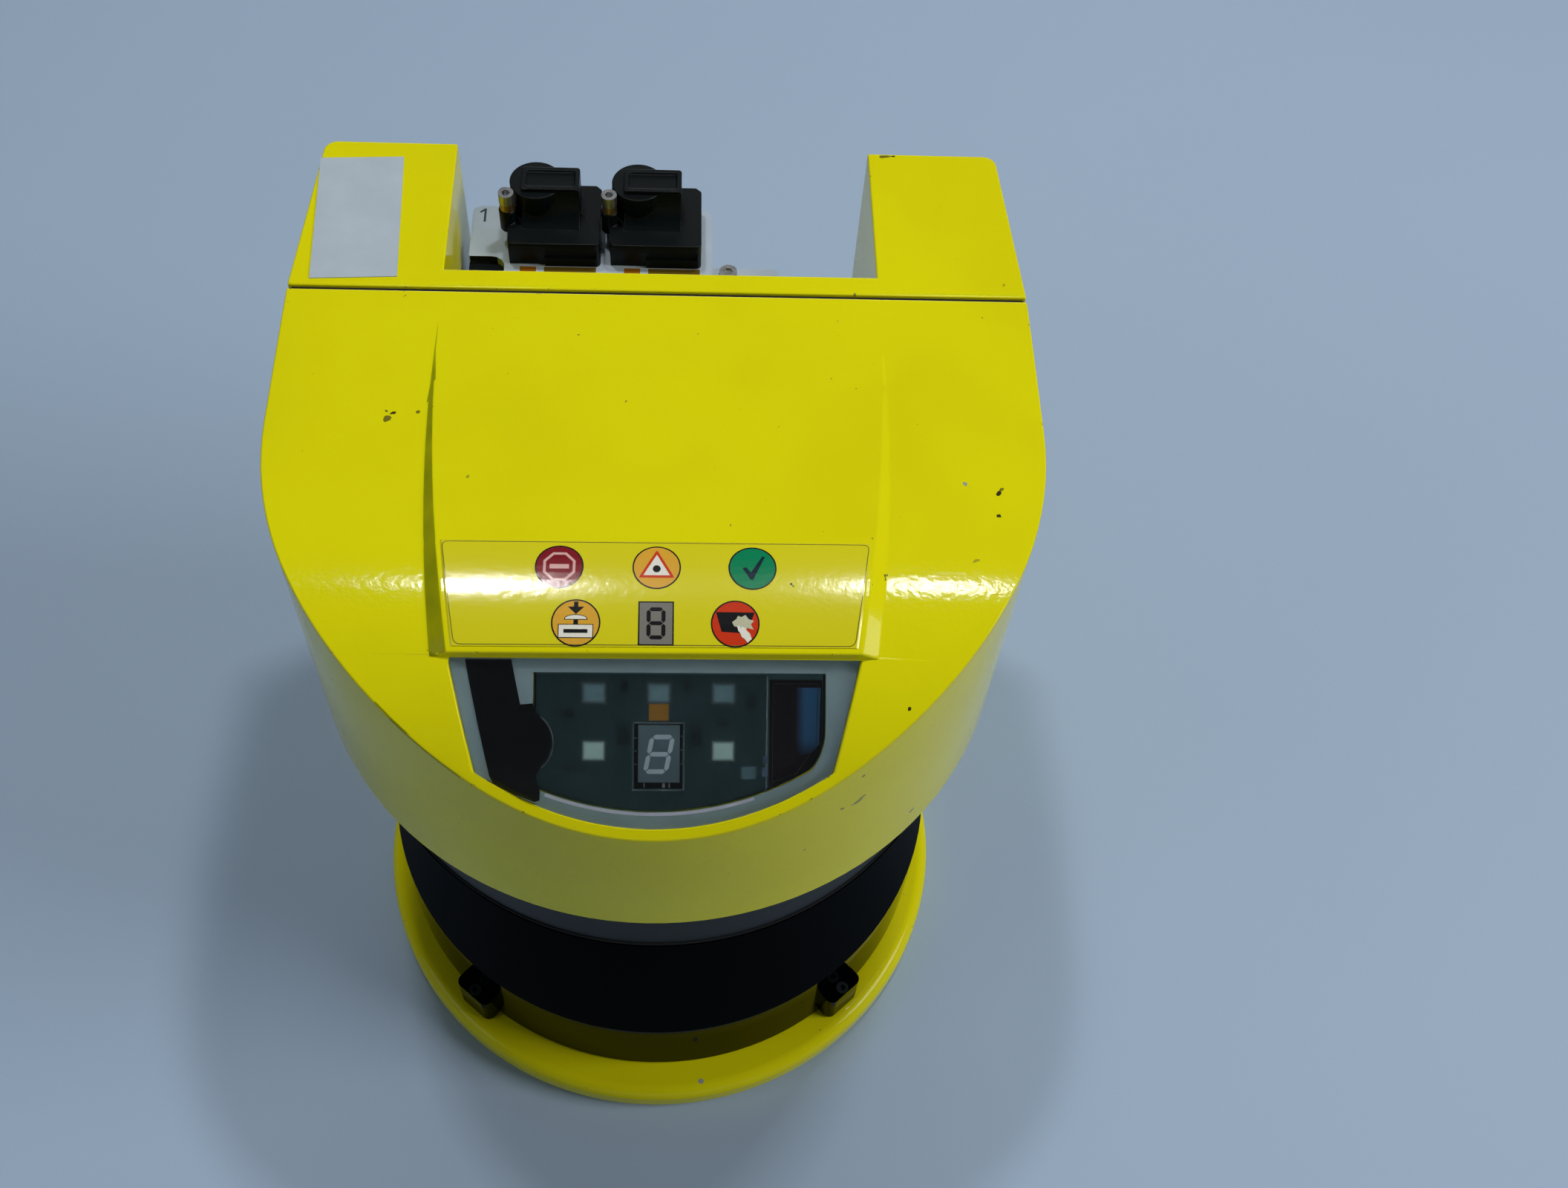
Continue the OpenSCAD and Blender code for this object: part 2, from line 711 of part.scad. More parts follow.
module io_module_housing() {
    tube_r = cover_screw_r * 2 + 3;
    color(WALL_COLOR) difference() {
        union() {
            difference() {
                translate([0, 0, io_bottom_z]) linear_extrude(overall_height - io_bottom_z) io_outline();
                translate([0, 0, io_bottom_z + io_wall])
                    linear_extrude(overall_height - io_bottom_z - 2 * io_wall) io_inside();
            }
            intersection() {
                translate([0, 0, io_bottom_z]) linear_extrude(overall_height - io_bottom_z) io_outline(0.5);
                union() {
                    for (p = module_screw_places) translate([p[0], rear_y - 1, p[1]]) rotate([90, 0, 0])
                        cylinder(r = tube_r, h = rear_y - 1 - io_front);
                    for (p = mount_places) translate([p[0], rear_y - 1, p[1]]) rotate([90, 0, 0])
                        cylinder(r = mount_hole_r + 4, h = mount_hole_depth + 2);
                    bay_walls();
                }
            }
        }
        translate([-bay_width / 2, bay_front, bay_floor_z]) cube([bay_width, FAR, FAR]);
        for (p = module_screw_places) translate([p[0], rear_y + 1, p[1]]) rotate([90, 0, 0]) {
            cylinder(r = cover_screw_r + fit_gap, h = FAR / 4);
            cylinder(r = cover_screw_r * 1.8 + fit_gap, h = module_screw_sink + 1);
        }
        for (p = mount_places) translate([p[0], rear_y + 1, p[1]]) rotate([90, 0, 0])
            cylinder(r = mount_hole_r, h = mount_hole_depth + 1);
        translate([carrier_x[0] + 8, carrier_y[0] + 3, bay_floor_z - 20])
            cube([carrier_x[1] - carrier_x[0] - 16, carrier_y[1] - carrier_y[0] - 6, FAR]);
    }
}

module io_inside() {
    intersection() {
        io_outline(io_wall);
        translate([-FAR / 2, io_front - 1]) square([FAR, FAR]);
    }
}

// The bay's own floor, side walls and front bar inside the module's shell
module bay_walls() {
    translate([-bay_width / 2 - io_wall, io_front, bay_floor_z - io_wall])
        cube([bay_width + 2 * io_wall, rear_y - io_front, bay_depth + io_wall]);
}

module module_screws() {
    seat_y = rear_y - module_screw_sink;
    length = seat_y - split_y + head_wall - 1;
    color("gray") for (p = module_screw_places) translate([p[0], seat_y - length, p[1]])
        rotate([-90, 0, 0]) socket_screw(cover_screw_r - 0.05, length, cover_screw_r * 1.8, 3.5);
}

// ---- display ----

module display_window() {
    color([0.75, 0.8, 0.82, 0.3]) intersection() {
        window_column(fit_gap);
        difference() {
            below_shoulders(pane_sink);
            below_shoulders(pane_sink + pane_t);
        }
    }
}

module display_gasket() {
    color([0.55, 0.6, 0.62]) intersection() {
        difference() {
            window_column(fit_gap);
            opening_column();
        }
        difference() {
            below_shoulders(seat_depth - gasket_t);
            below_shoulders(seat_depth);
        }
    }
}

// Black foil behind the left of the pane: a slanting strip with a round tab beside the opening
module mask_outline() {
    intersection() {
        window_outline(fit_gap + 0.4);
        union() {
            translate([opening_x[0], window_u]) {
                polygon([[-12.7, 0], [-4.2, 0], [-2.3, -8.8], [0, -8.6], [1.2, -11], [1.2, -21],
                    [0.6, -22.1], [1.3, -25.1], [1.2, -26.8], [0.2, -27.1], [-7, -24.2], [-8, -22.2]]);
                translate([-2.3, -15.8]) circle(r = 6.26, $fn = 48);
            }
        }
    }
}

module display_mask() {
    color("black") intersection() {
        window_column(fit_gap + 0.4);
        display_frame() translate([0, 0, -FAR / 16]) linear_extrude(FAR / 8) mask_outline();
        difference() {
            below_shoulders(pane_sink + pane_t + 0.05);
            below_shoulders(pane_sink + pane_t + 0.05 + mask_t);
        }
    }
}

module display_tray() {
    color([0.1, 0.11, 0.12]) intersection() {
        difference() {
            opening_column(1.2);
            opening_column();
        }
        below_shoulders(seat_depth + surround_t + 0.1);
        translate([0, 0, head_wall_z]) linear_extrude(FAR) head_outline(head_wall + fit_gap);
        display_slab(-display_depth - board_t, FAR / 8);
    }
}

module display_board() {
    color([0.1, 0.16, 0.15]) intersection() {
        opening_column(-fit_gap);
        display_slab(-display_depth - board_t, -display_depth);
    }
}

// A component standing on the display board: middle, size and height
module on_board(x, u, size, h) {
    display_frame() translate([x - size[0] / 2, u - size[1] / 2, -display_depth]) cube([size[0], size[1], h]);
}

module seven_segment_display() {
    color([0.45, 0.5, 0.52]) {
        on_board(digit_module[0], digit_module[1], [digit_module[2], digit_module[3]], digit_h * 0.6);
        on_board(digit_module[0] + 0.1, digit_module[1] + 0.6,
            [digit_module[2] - 1.4, digit_module[3] - 1.6], digit_h);
    }
}

module indicator_leds() {
    back_u = window_u - opening_back - 4.1;
    front_u = back_u - 10.8;
    color([0.85, 0.88, 0.88]) {
        for (i = [-1:1]) on_board(digit_module[0] + i * led_pitch, back_u, [3.4, 2.8], 1.1);
        for (i = [-1, 1]) on_board(digit_module[0] + i * led_pitch, front_u, [3.4, 2.8], 1.1);
        on_board(digit_module[0] + 1.4 * led_pitch, front_u - 4.2, [2.8, 2.2], 0.9);
    }
    color("orange") on_board(digit_module[0], back_u - 3.5, [3.6, 3], 1.6);
}

// Tinted plate over the right of the board
module display_filter() {
    left = opening_x[1] - 10.5;
    back = window_u - opening_back - 1.4;
    color([0.12, 0.05, 0.04]) intersection() {
        opening_column(-0.5);
        display_slab(-display_depth + 0.4, -display_depth + 2.4);
        display_frame() translate([left, back - 20, -FAR / 8]) cube([40, 20, FAR / 4]);
    }
}

// ---- labels ----

module label_sheet() {
    front = window_rear_y + label_margin;
    color([0.85, 0.83, 0.1]) intersection() {
        translate([0, 0, label_t]) below_panel();
        panel_flanks(label_side_margin);
        translate([-FAR / 2, front, overall_height - 11]) cube([FAR, label_depth, FAR]);
        difference() {
            cube(FAR * 2, center = true);
            below_panel();
        }
    }
}

module blank_sticker() {
    color("white") translate([-head_r + sticker_inset[0], rear_y - sticker_inset[1], overall_height])
        rotate([0, 0, 3]) translate([-sticker_size[0] / 2, -sticker_size[1] / 2, 0])
            cube([sticker_size[0], sticker_size[1], label_t]);
}

// ---- connectors in the bay ----

plate_margin = 2.5;                          // the plate's edge beyond the right connector
carrier_x = [-bay_width / 2 + 2, plate_margin - 1 + connector_size[0] / 2 - connector_x];
carrier_y = [bay_front + 12, rear_y - 1.5];
plate_y = [connector_y - 4, rear_y - 1.8];
plate_corner = 2.2;
tab_size = [15, 4.5];
tab_screw = [carrier_x[1] + 4.6, connector_y - 1.5];
notch = [8.1, 6.8, 3];                       // width, depth and corner of the plate's notch at the front left
contact_y = connector_y + 6.5;
tab_screw_r = 1.1;

// A rectangle from the origin, with its four corners rounded
module rounded_plan(w, d, r) {
    translate([r, 0]) square([w - 2 * r, d]);
    translate([0, r]) square([w, d - 2 * r]);
    for (x = [r, w - r]) for (y = [r, d - r]) translate([x, y]) circle(r = r, $fn = 32);
}

module connector_carrier() {
    height = plate_rise - plate_t;
    foot_r = 4;
    color([0.05, 0.05, 0.05]) difference() {
        union() {
            translate([carrier_x[0], carrier_y[0] + foot_r, bay_floor_z])
                cube([carrier_x[1] - carrier_x[0], carrier_y[1] - carrier_y[0] - foot_r, height]);
            translate([carrier_x[0], carrier_y[0], bay_floor_z])
                cube([2 * foot_r, carrier_y[1] - carrier_y[0], height]);
            translate([carrier_x[0] + 2 * foot_r, carrier_y[0] + foot_r, bay_floor_z])
                cylinder(r = foot_r, h = height);
        }
        translate([carrier_x[0] + 9, carrier_y[0] + 7, bay_floor_z - 1])
            cube([carrier_x[1] - carrier_x[0] - 12, carrier_y[1] - carrier_y[0] - 10, height - 2]);
    }
}

// Plate with round rear corners, a notch at the front left and a tab at the front right
module plate_outline() {
    right = carrier_x[1] + 1;
    x1 = carrier_x[0] + notch[0] - notch[2];
    y1 = plate_y[0] + notch[1] - notch[2];
    difference() {
        union() {
            translate([carrier_x[0], plate_y[0]])
                square([right - carrier_x[0], plate_y[1] - plate_y[0] - plate_corner]);
            translate([carrier_x[0], plate_y[0]])
                rounded_plan(right - carrier_x[0], plate_y[1] - plate_y[0], plate_corner);
            translate([right - 5, plate_y[0]]) rounded_plan(tab_size[0] + 5, tab_size[1], 1.5);
        }
        for (cx = connector_xs) translate([cx - contact_size[0] / 2, contact_y])
            square([contact_size[0], contact_size[1]]);
        translate([-FAR, y1 - FAR + notch[2]]) square([FAR + x1, FAR]);
        translate([-FAR, y1 - FAR]) square([FAR + x1 + notch[2], FAR]);
        translate([x1, y1]) circle(r = notch[2], $fn = 48);
        translate(tab_screw) circle(r = tab_screw_r + fit_gap, $fn = 32);
    }
}

module connector_plate() {
    color([0.75, 0.78, 0.8]) translate([0, 0, plate_z - plate_t]) linear_extrude(plate_t) plate_outline();
}

module plate_screw() {
    color("silver") translate([tab_screw[0], tab_screw[1], plate_z - 8]) socket_screw(tab_screw_r, 8, 2, 1.2);
}

// The body seen from above: round front corners, and a bevelled corner at the rear right
module connector_plan() {
    w = connector_size[0] / 2;
    d = connector_size[1];
    r = connector_corner;
    polygon([[-w, r], [-w, d], [w - r, d], [w, d - r], [w, r], [w - r, 0], [-w + r, 0]]);
    for (x = [-1, 1]) translate([x * (w - r), r]) circle(r = r, $fn = 48);
}

// The grip runs down into the body in a hollow curve
module grip_cove() {
    h = block_size[2];
    r = (pow(cove_depth, 2) + pow(h, 2)) / (2 * cove_depth);
    difference() {
        translate([0, -cove_depth, 0]) cube([block_size[0], cove_depth + 0.5, h - 0.3]);
        translate([-1, -r - 0.05, h]) rotate([0, 90, 0]) cylinder(r = r, h = block_size[0] + 2, $fn = 96);
    }
}

module connector() {
    w = connector_size[0];
    h = connector_size[2];
    rim = 1.1;
    color([0.05, 0.05, 0.05]) translate([0, connector_y, plate_z]) difference() {
        union() {
            linear_extrude(h) connector_plan();
            translate([block_place[0] - w / 2, block_place[1], h - 0.01]) {
                linear_extrude(block_size[2]) rounded_plan(block_size[0], block_size[1], 0.7);
                grip_cove();
            }
            translate([boss_place[0] - w / 2, boss_place[1], h - 0.01])
                cylinder(r = boss_r, h = block_size[2] - 0.8);
            translate([-jack_place[0], jack_place[1], h - sleeve_drop])
                cylinder(r = sleeve_r, h = sleeve_drop + collar_rise, $fn = 48);
        }
        translate([block_place[0] - w / 2 + rim, block_place[1] + rim, h + block_size[2] - 0.5])
            linear_extrude(1) rounded_plan(block_size[0] - 2 * rim, block_size[1] - 2 * rim, 0.5);
        translate([-w / 2 - 1, -1, -1]) cube([step_size[0] + 1, step_size[1] + 1, h - step_size[2] + 1]);
        translate([-w / 2 + step_size[0], -1, h - 4.4]) cube([w - step_size[0] - 1, 1.6, 2.2]);
        translate([-contact_size[0] / 2, contact_y - connector_y, -1])
            cube([contact_size[0], contact_size[1], contact_size[2] + 1 + fit_gap]);
        translate([-jack_place[0], jack_place[1], -1]) cylinder(r = shank_r + 0.05, h = FAR, $fn = 32);
    }
}

module connector_left() {
    translate([connector_xs[0], 0, 0]) connector();
}

module connector_right() {
    translate([connector_xs[1], 0, 0]) connector();
}

// Two rows of contacts stand on the carrier and reach up through the plate into each connector
module connector_contacts() {
    row = 1.4;
    color("goldenrod") for (cx = connector_xs)
        for (y = [contact_y + fit_gap, contact_y + contact_size[1] - row - fit_gap])
            translate([cx - contact_size[0] / 2 + fit_gap, y, plate_z - plate_t])
                cube([contact_size[0] - 2 * fit_gap, row, plate_t + contact_size[2]]);
}

module jackscrew_place() {
    for (cx = connector_xs) translate([cx - jack_place[0], connector_y + jack_place[1], plate_z]) children();
}

module jackscrews() {
    color("silver") jackscrew_place()
        socket_screw(shank_r, connector_size[2] + collar_rise + collar_h, jackscrew_r, 2.6);
}

module jackscrew_collars() {
    color("gold") jackscrew_place() translate([0, 0, connector_size[2] + collar_rise]) difference() {
        cylinder(r = jackscrew_r - 0.1, h = collar_h, $fn = 32);
        translate([0, 0, -1]) cylinder(r = shank_r + 0.05, h = 5, $fn = 32);
    }
}

// ---- motor, encoder and mirror ----

module at_axis(z = 0) {
    translate([0, mirror_y, z]) children();
}

module motor_plate() {
    color("silver") at_axis(base_t) difference() {
        union() {
            cylinder(r = rotor_r + 14, h = motor_plate_t);
            cylinder(r = bearing_size[0] + 2, h = motor_plate_t + rotor_h + 1);
        }
        translate([0, 0, motor_plate_t - 1]) cylinder(r = bearing_size[0] + 0.05, h = FAR / 4);
        for (a = [45:90:359]) rotate([0, 0, a]) translate([rotor_r + 8, 0, -1])
            cylinder(r = 1.8, h = 10, $fn = 32);
        translate([-FAR / 2, column_y - mirror_y - 0.5, -1]) cube([FAR, FAR, FAR]);
    }
}

module motor_stator() {
    poles = 9;
    inner = bearing_size[0] + 2.1;
    outer = rotor_r - 3.4;
    color([0.6, 0.35, 0.15]) at_axis(motor_z + 3) difference() {
        cylinder(r = outer, h = rotor_h - 5);
        translate([0, 0, -1]) cylinder(r = inner, h = FAR / 8);
        for (a = [0:poles - 1]) rotate([0, 0, a * 360 / poles]) translate([inner + 3, -1.2, -1])
            cube([outer, 2.4, FAR / 8]);
    }
}

module spindle_bearings() {
    color("silver") for (z = [motor_z, motor_z + rotor_h - bearing_size[1] + 0.5]) at_axis(z) difference() {
        cylinder(r = bearing_size[0], h = bearing_size[1]);
        translate([0, 0, -1]) cylinder(r = spindle_r + spindle_gap, h = FAR / 8);
    }
}

module spindle_shaft() {
    color("silver") at_axis(motor_z + 0.5) cylinder(r = spindle_r, h = rotor_top - motor_z - 0.5);
}

module motor_rotor() {
    color([0.3, 0.3, 0.32]) at_axis() difference() {
        translate([0, 0, rotor_top - rotor_h]) cylinder(r = rotor_r, h = rotor_h);
        translate([0, 0, rotor_top - rotor_h - 1]) cylinder(r = rotor_r - 3, h = rotor_h - 2);
        translate([0, 0, rotor_top - 10]) cylinder(r = spindle_r, h = 20);
    }
}

module encoder_disc() {
    color([0.7, 0.7, 0.72]) at_axis(rotor_top) difference() {
        cylinder(r = encoder_r, h = 1);
        for (i = [0:encoder_slots - 1]) rotate([0, 0, i * 360 / encoder_slots])
            translate([encoder_r - 3, -0.8, -1]) cube([2, 1.6, 3]);
    }
}

module encoder_sensor() {
    slot_z = rotor_top - motor_z;
    color([0.1, 0.1, 0.1]) at_axis(motor_z) difference() {
        translate([max(rotor_r, mirror_r) + 0.6, -5, 0]) cube([12, 10, slot_z + 5]);
        translate([rotor_r, -6, slot_z - 1]) cube([encoder_r - rotor_r + 1, 12, 3]);
    }
}

module mirror_half_space(depth) {
    translate([0, mirror_y, scan_z]) rotate([45, 0, 0]) translate([-FAR / 2, -FAR / 2, -FAR - depth])
        cube([FAR, FAR, FAR]);
}

module mirror_hub() {
    foot = rotor_top + 1;
    color([0.12, 0.12, 0.13]) intersection() {
        at_axis(foot) cylinder(r = mirror_r, h = scan_z + mirror_r - foot - 2);
        mirror_half_space(mirror_t);
    }
}

module scan_mirror() {
    color([0.85, 0.88, 0.9]) intersection() {
        at_axis(rotor_top) cylinder(r = mirror_r - 0.3, h = FAR);
        difference() {
            mirror_half_space(0);
            mirror_half_space(mirror_t);
        }
    }
}

// ---- receiver: barrel, lens, laser tube and detector ----

barrel_flange_r = lens_r + barrel_t + 7.5;

module lens_barrel() {
    tube_r = laser_r + 0.1;
    spider_z = deck_top + 6;
    color([0.08, 0.08, 0.09]) at_axis() {
        difference() {
            union() {
                translate([0, 0, lens_z - 2]) cylinder(r = lens_r + barrel_t, h = barrel_top - lens_z + 2);
                translate([0, 0, deck_top]) cylinder(r = barrel_flange_r, h = 3);
            }
            translate([0, 0, lens_z]) cylinder(r = lens_r + 0.1, h = FAR);
            translate([0, 0, lens_z - 3]) cylinder(r = lens_r - 1.5, h = FAR);
            for (a = [0:90:359]) rotate([0, 0, a + 45]) translate([barrel_flange_r - 4, 0, 0])
                cylinder(r = 1.5 + fit_gap, h = FAR);
        }
        difference() {
            union() {
                translate([0, 0, spider_z]) cylinder(r = tube_r + 2, h = 8);
                for (a = [90, 210, 330]) rotate([0, 0, a]) translate([tube_r + 1, -1, spider_z])
                    cube([lens_r + 1 - tube_r, 2, 5]);
            }
            translate([0, 0, spider_z - 1]) cylinder(r = tube_r, h = 20);
        }
    }
}

module receiver_lens() {
    rim = 3;
    sag = lens_face_r - sqrt(pow(lens_face_r, 2) - pow(lens_r, 2));
    color([0.8, 0.85, 0.9]) at_axis(lens_z) difference() {
        intersection() {
            cylinder(r = lens_r, h = rim + sag + 1);
            translate([0, 0, rim + sag - lens_face_r]) sphere(r = lens_face_r, $fn = 96);
        }
        translate([0, 0, -FAR / 2]) cylinder(r = laser_r + 0.3, h = FAR);
    }
}

module laser_tube() {
    color("goldenrod") at_axis(lens_z - 8) difference() {
        cylinder(r = laser_r, h = deck_top + 20 - lens_z + 8);
        translate([0, 0, -1]) cylinder(r = laser_r - 1.2, h = 16);
    }
}

module detector_board() {
    color([0.05, 0.3, 0.15]) at_axis(barrel_top) cylinder(r = lens_r + barrel_t, h = board_t);
}

module light_detector() {
    color("silver") at_axis(barrel_top - 5) cylinder(r = 4, h = 5);
}

// ---- circuit boards ----

main_board_y = split_y - head_wall - 5;
interface_board_y = rear_y - io_wall - 8;
main_board_z = [head_wall_z + head_wall + 3, overall_height - head_wall - 6];
interface_board_z = [io_bottom_z + io_wall + 4, bay_floor_z - io_wall - 4];
interface_board_half = head_r - 34;           // stays clear of the screw tubes at either side

module main_board() {
    color([0.05, 0.35, 0.18]) translate([-head_r + 16, main_board_y - board_t, main_board_z[0]])
        cube([head_width - 32, board_t, main_board_z[1] - main_board_z[0]]);
}

module main_board_parts() {
    color([0.08, 0.08, 0.08]) translate([0, main_board_y - board_t, main_board_z[1] - 16])
        for (p = [[-34, 18, 3], [-8, 12, 2], [16, 22, 4]])
            translate([p[0], -p[2], -p[1] / 2]) cube([p[1], p[2], p[1]]);
}

module interface_board() {
    color([0.05, 0.35, 0.18])
        translate([-interface_board_half, interface_board_y - board_t, interface_board_z[0]])
            cube([2 * interface_board_half, board_t, interface_board_z[1] - interface_board_z[0]]);
}

module interface_board_parts() {
    color([0.08, 0.08, 0.08]) translate([0, interface_board_y - board_t, interface_board_z[0] + 18])
        for (p = [[-40, 14, 10], [-20, 10, 6], [2, 18, 12], [28, 12, 5]])
            translate([p[0], -p[2], -p[1] / 2]) cube([p[1], p[2], p[1]]);
}

module board_standoffs() {
    color("silver") {
        for (x = [-1, 1]) for (z = [main_board_z[0] + 4, main_board_z[1] - 4])
            translate([x * (head_r - 20), split_y - head_wall, z]) rotate([90, 0, 0])
                cylinder(r = 3, h = split_y - head_wall - main_board_y, $fn = 32);
        for (x = [-1, 1]) for (z = [interface_board_z[0] + 4, interface_board_z[1] - 4])
            translate([x * (interface_board_half - 4), rear_y - io_wall, z]) rotate([90, 0, 0])
                cylinder(r = 3, h = rear_y - io_wall - interface_board_y, $fn = 32);
    }
}

module board_link() {
    color([0.85, 0.85, 0.8]) translate([-link_size[0] / 2, main_board_y, link_z])
        cube([link_size[0], interface_board_y - board_t - main_board_y, link_size[1]]);
}

// ---- contamination sensors that watch the screen ----

sensor_angles = [-70:28:70];
sensor_board_r = [screen_r - screen_t - 9, screen_r - screen_t - 1];

module sensor_ring(z) {
    ring_sweep(90) translate([sensor_board_r[0], z]) square([sensor_board_r[1] - sensor_board_r[0], board_t]);
}

module sensor_posts(z0, z1) {
    for (a = sensor_angles) translate([0, screen_y, z0]) rotate([0, 0, a])
        translate([0, -(sensor_board_r[0] + sensor_board_r[1]) / 2, 0])
            cylinder(r = 2, h = z1 - z0, $fn = 32);
}

module lower_sensor_board() {
    z = rim_z - 8;
    color([0.05, 0.3, 0.15]) {
        sensor_ring(z);
        sensor_posts(base_t, z + 0.01);
    }
}

module window_emitters() {
    z = rim_z - 8 + board_t;
    color([0.2, 0.2, 0.3]) sensor_posts(z, z + 2.6);
}

module upper_sensor_board() {
    z = ring_z + 9;
    color([0.05, 0.3, 0.15]) {
        sensor_ring(z);
        sensor_posts(z, deck_top - chassis_t);
    }
}

module window_receivers() {
    z = ring_z + 9;
    color([0.2, 0.2, 0.3]) sensor_posts(z - 2.6, z);
}

base_cover();
base_screws();
screen_lower_seal();
front_screen();
screen_screws();
screen_upper_seal();
optics_chassis();
chassis_screws();
sensor_head_housing();
split_gasket();
io_module_housing();
module_screws();
display_window();
display_gasket();
display_mask();
display_tray();
display_board();
seven_segment_display();
indicator_leds();
display_filter();
label_sheet();
blank_sticker();
connector_carrier();
connector_plate();
connector_left();
connector_right();
connector_contacts();
jackscrews();
jackscrew_collars();
plate_screw();
motor_plate();
motor_stator();
spindle_bearings();
spindle_shaft();
motor_rotor();
encoder_disc();
encoder_sensor();
mirror_hub();
scan_mirror();
lens_barrel();
receiver_lens();
laser_tube();
detector_board();
light_detector();
main_board();
main_board_parts();
interface_board();
interface_board_parts();
board_standoffs();
board_link();
lower_sensor_board();
window_emitters();
upper_sensor_board();
window_receivers();
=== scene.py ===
"""The looks of the safety laser scanner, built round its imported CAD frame."""

import json
import math
import random

import bmesh
import bpy
from mathutils import Matrix, Vector
from mathutils.bvhtree import BVHTree


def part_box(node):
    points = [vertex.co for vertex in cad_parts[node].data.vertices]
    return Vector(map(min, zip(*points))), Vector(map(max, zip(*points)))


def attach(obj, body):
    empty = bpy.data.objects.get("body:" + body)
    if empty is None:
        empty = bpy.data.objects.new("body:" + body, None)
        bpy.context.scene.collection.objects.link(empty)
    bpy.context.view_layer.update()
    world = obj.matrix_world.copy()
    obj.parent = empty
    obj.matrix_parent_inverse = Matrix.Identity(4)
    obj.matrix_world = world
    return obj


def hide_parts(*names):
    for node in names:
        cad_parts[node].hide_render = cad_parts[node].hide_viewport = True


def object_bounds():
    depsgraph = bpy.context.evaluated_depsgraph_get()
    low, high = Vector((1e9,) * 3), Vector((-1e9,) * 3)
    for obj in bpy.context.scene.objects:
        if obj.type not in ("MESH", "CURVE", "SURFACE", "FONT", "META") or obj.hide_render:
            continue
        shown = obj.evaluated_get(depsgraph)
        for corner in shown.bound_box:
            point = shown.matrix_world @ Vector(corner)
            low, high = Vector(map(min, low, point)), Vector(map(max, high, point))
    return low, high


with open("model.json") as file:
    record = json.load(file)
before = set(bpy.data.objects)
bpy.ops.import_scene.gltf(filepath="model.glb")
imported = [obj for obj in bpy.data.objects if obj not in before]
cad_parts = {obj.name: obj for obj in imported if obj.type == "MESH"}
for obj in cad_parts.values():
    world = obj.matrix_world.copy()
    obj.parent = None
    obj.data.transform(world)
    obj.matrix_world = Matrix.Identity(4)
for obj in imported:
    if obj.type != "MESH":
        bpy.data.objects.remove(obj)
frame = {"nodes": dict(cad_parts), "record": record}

cad_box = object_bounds()

MM = 0.001
BODY = "scanner_body"

# The photograph's view: the camera's place in metres, its turns in degrees and its lens in mm
CAMERA_PLACE = (0.0045, -0.2056, 0.4511)
CAMERA_DOWN, CAMERA_RIGHT, CAMERA_ROLL = 56.93, 6.39, 5.85
CAMERA_LENS, CAMERA_SENSOR = 39.03, 36

SKY = (0.80, 0.91, 1, 1)
BACKDROP = 0.42                # brightness of the far floor and the room, as the camera sees them

# The round nose that the label is laid over, as the CAD has it
module_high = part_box("io_module_housing")[1]
TOP = module_high.z
NOSE_R = 58 * MM
NOSE_START_Y = -22 * MM
LABEL_T = 0.2 * MM
LAYER = 0.02 * MM              # thickness of one layer of print

# The sloping frame of the display, with u up its slope and w out of it
SLOPE = math.radians(35)
DISPLAY_Y = -53 * MM
DISPLAY_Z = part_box("seven_segment_display")[1].z + 5.04 * MM

# Levels in the display, in mm along w
BOARD_W = -7.6
GLOW_W = BOARD_W + 1.05        # just over the lamps
AMBER_W = BOARD_W + 1.6
FILTER_W = BOARD_W + 2.4
FIGURE_W = BOARD_W + 3.2       # the figure display's face
FIGURE_BODY_W = -5.66
SMOKE_W = -5.6                 # the lower face of the frosted sheet
SMOKE_TRIM_W = -5.25

# The opening for the figure display and the places of the lamps, in mm
FIGURE_WINDOW = [(-4.15, -14.6), (5.3, -14.6), (5.3, -2.15), (-4.15, -2.15)]
LAMP_X, LAMP_PITCH = 0.6, 12.2
REAR_LAMP_U, FRONT_LAMP_U = 3.3, -7.5


# ---- camera, floor and light ----

def add_camera():
    pitch, yaw, roll = (math.radians(a) for a in (CAMERA_DOWN, CAMERA_RIGHT, CAMERA_ROLL))
    forward = Vector((math.sin(yaw) * math.cos(pitch), math.cos(yaw) * math.cos(pitch),
                      -math.sin(pitch)))
    level = Vector((math.cos(yaw), -math.sin(yaw), 0))
    upward = level.cross(forward)
    right = level * math.cos(roll) + upward * math.sin(roll)
    up = upward * math.cos(roll) - level * math.sin(roll)
    camera = bpy.data.cameras.new("camera")
    camera.lens = CAMERA_LENS
    camera.sensor_width = CAMERA_SENSOR
    camera.clip_start = 0.01
    obj = bpy.data.objects.new("camera", camera)
    rotation = Matrix((right, up, -forward)).transposed().to_4x4()
    obj.matrix_world = Matrix.Translation(CAMERA_PLACE) @ rotation
    bpy.context.scene.collection.objects.link(obj)
    bpy.context.scene.camera = obj


def add_area_light(name, place, size, power, colour):
    """A rectangular light in metres and watts, turned to the middle of the scanner."""
    light = bpy.data.lights.new(name, "AREA")
    light.shape = "RECTANGLE"
    light.size, light.size_y = size
    light.energy = power
    light.color = colour
    obj = bpy.data.objects.new(name, light)
    direction = Vector((0, 0, 0.17)) - Vector(place)
    rotation = direction.to_track_quat("-Z", "Y").to_matrix().to_4x4()
    obj.matrix_world = Matrix.Translation(place) @ rotation
    bpy.context.scene.collection.objects.link(obj)


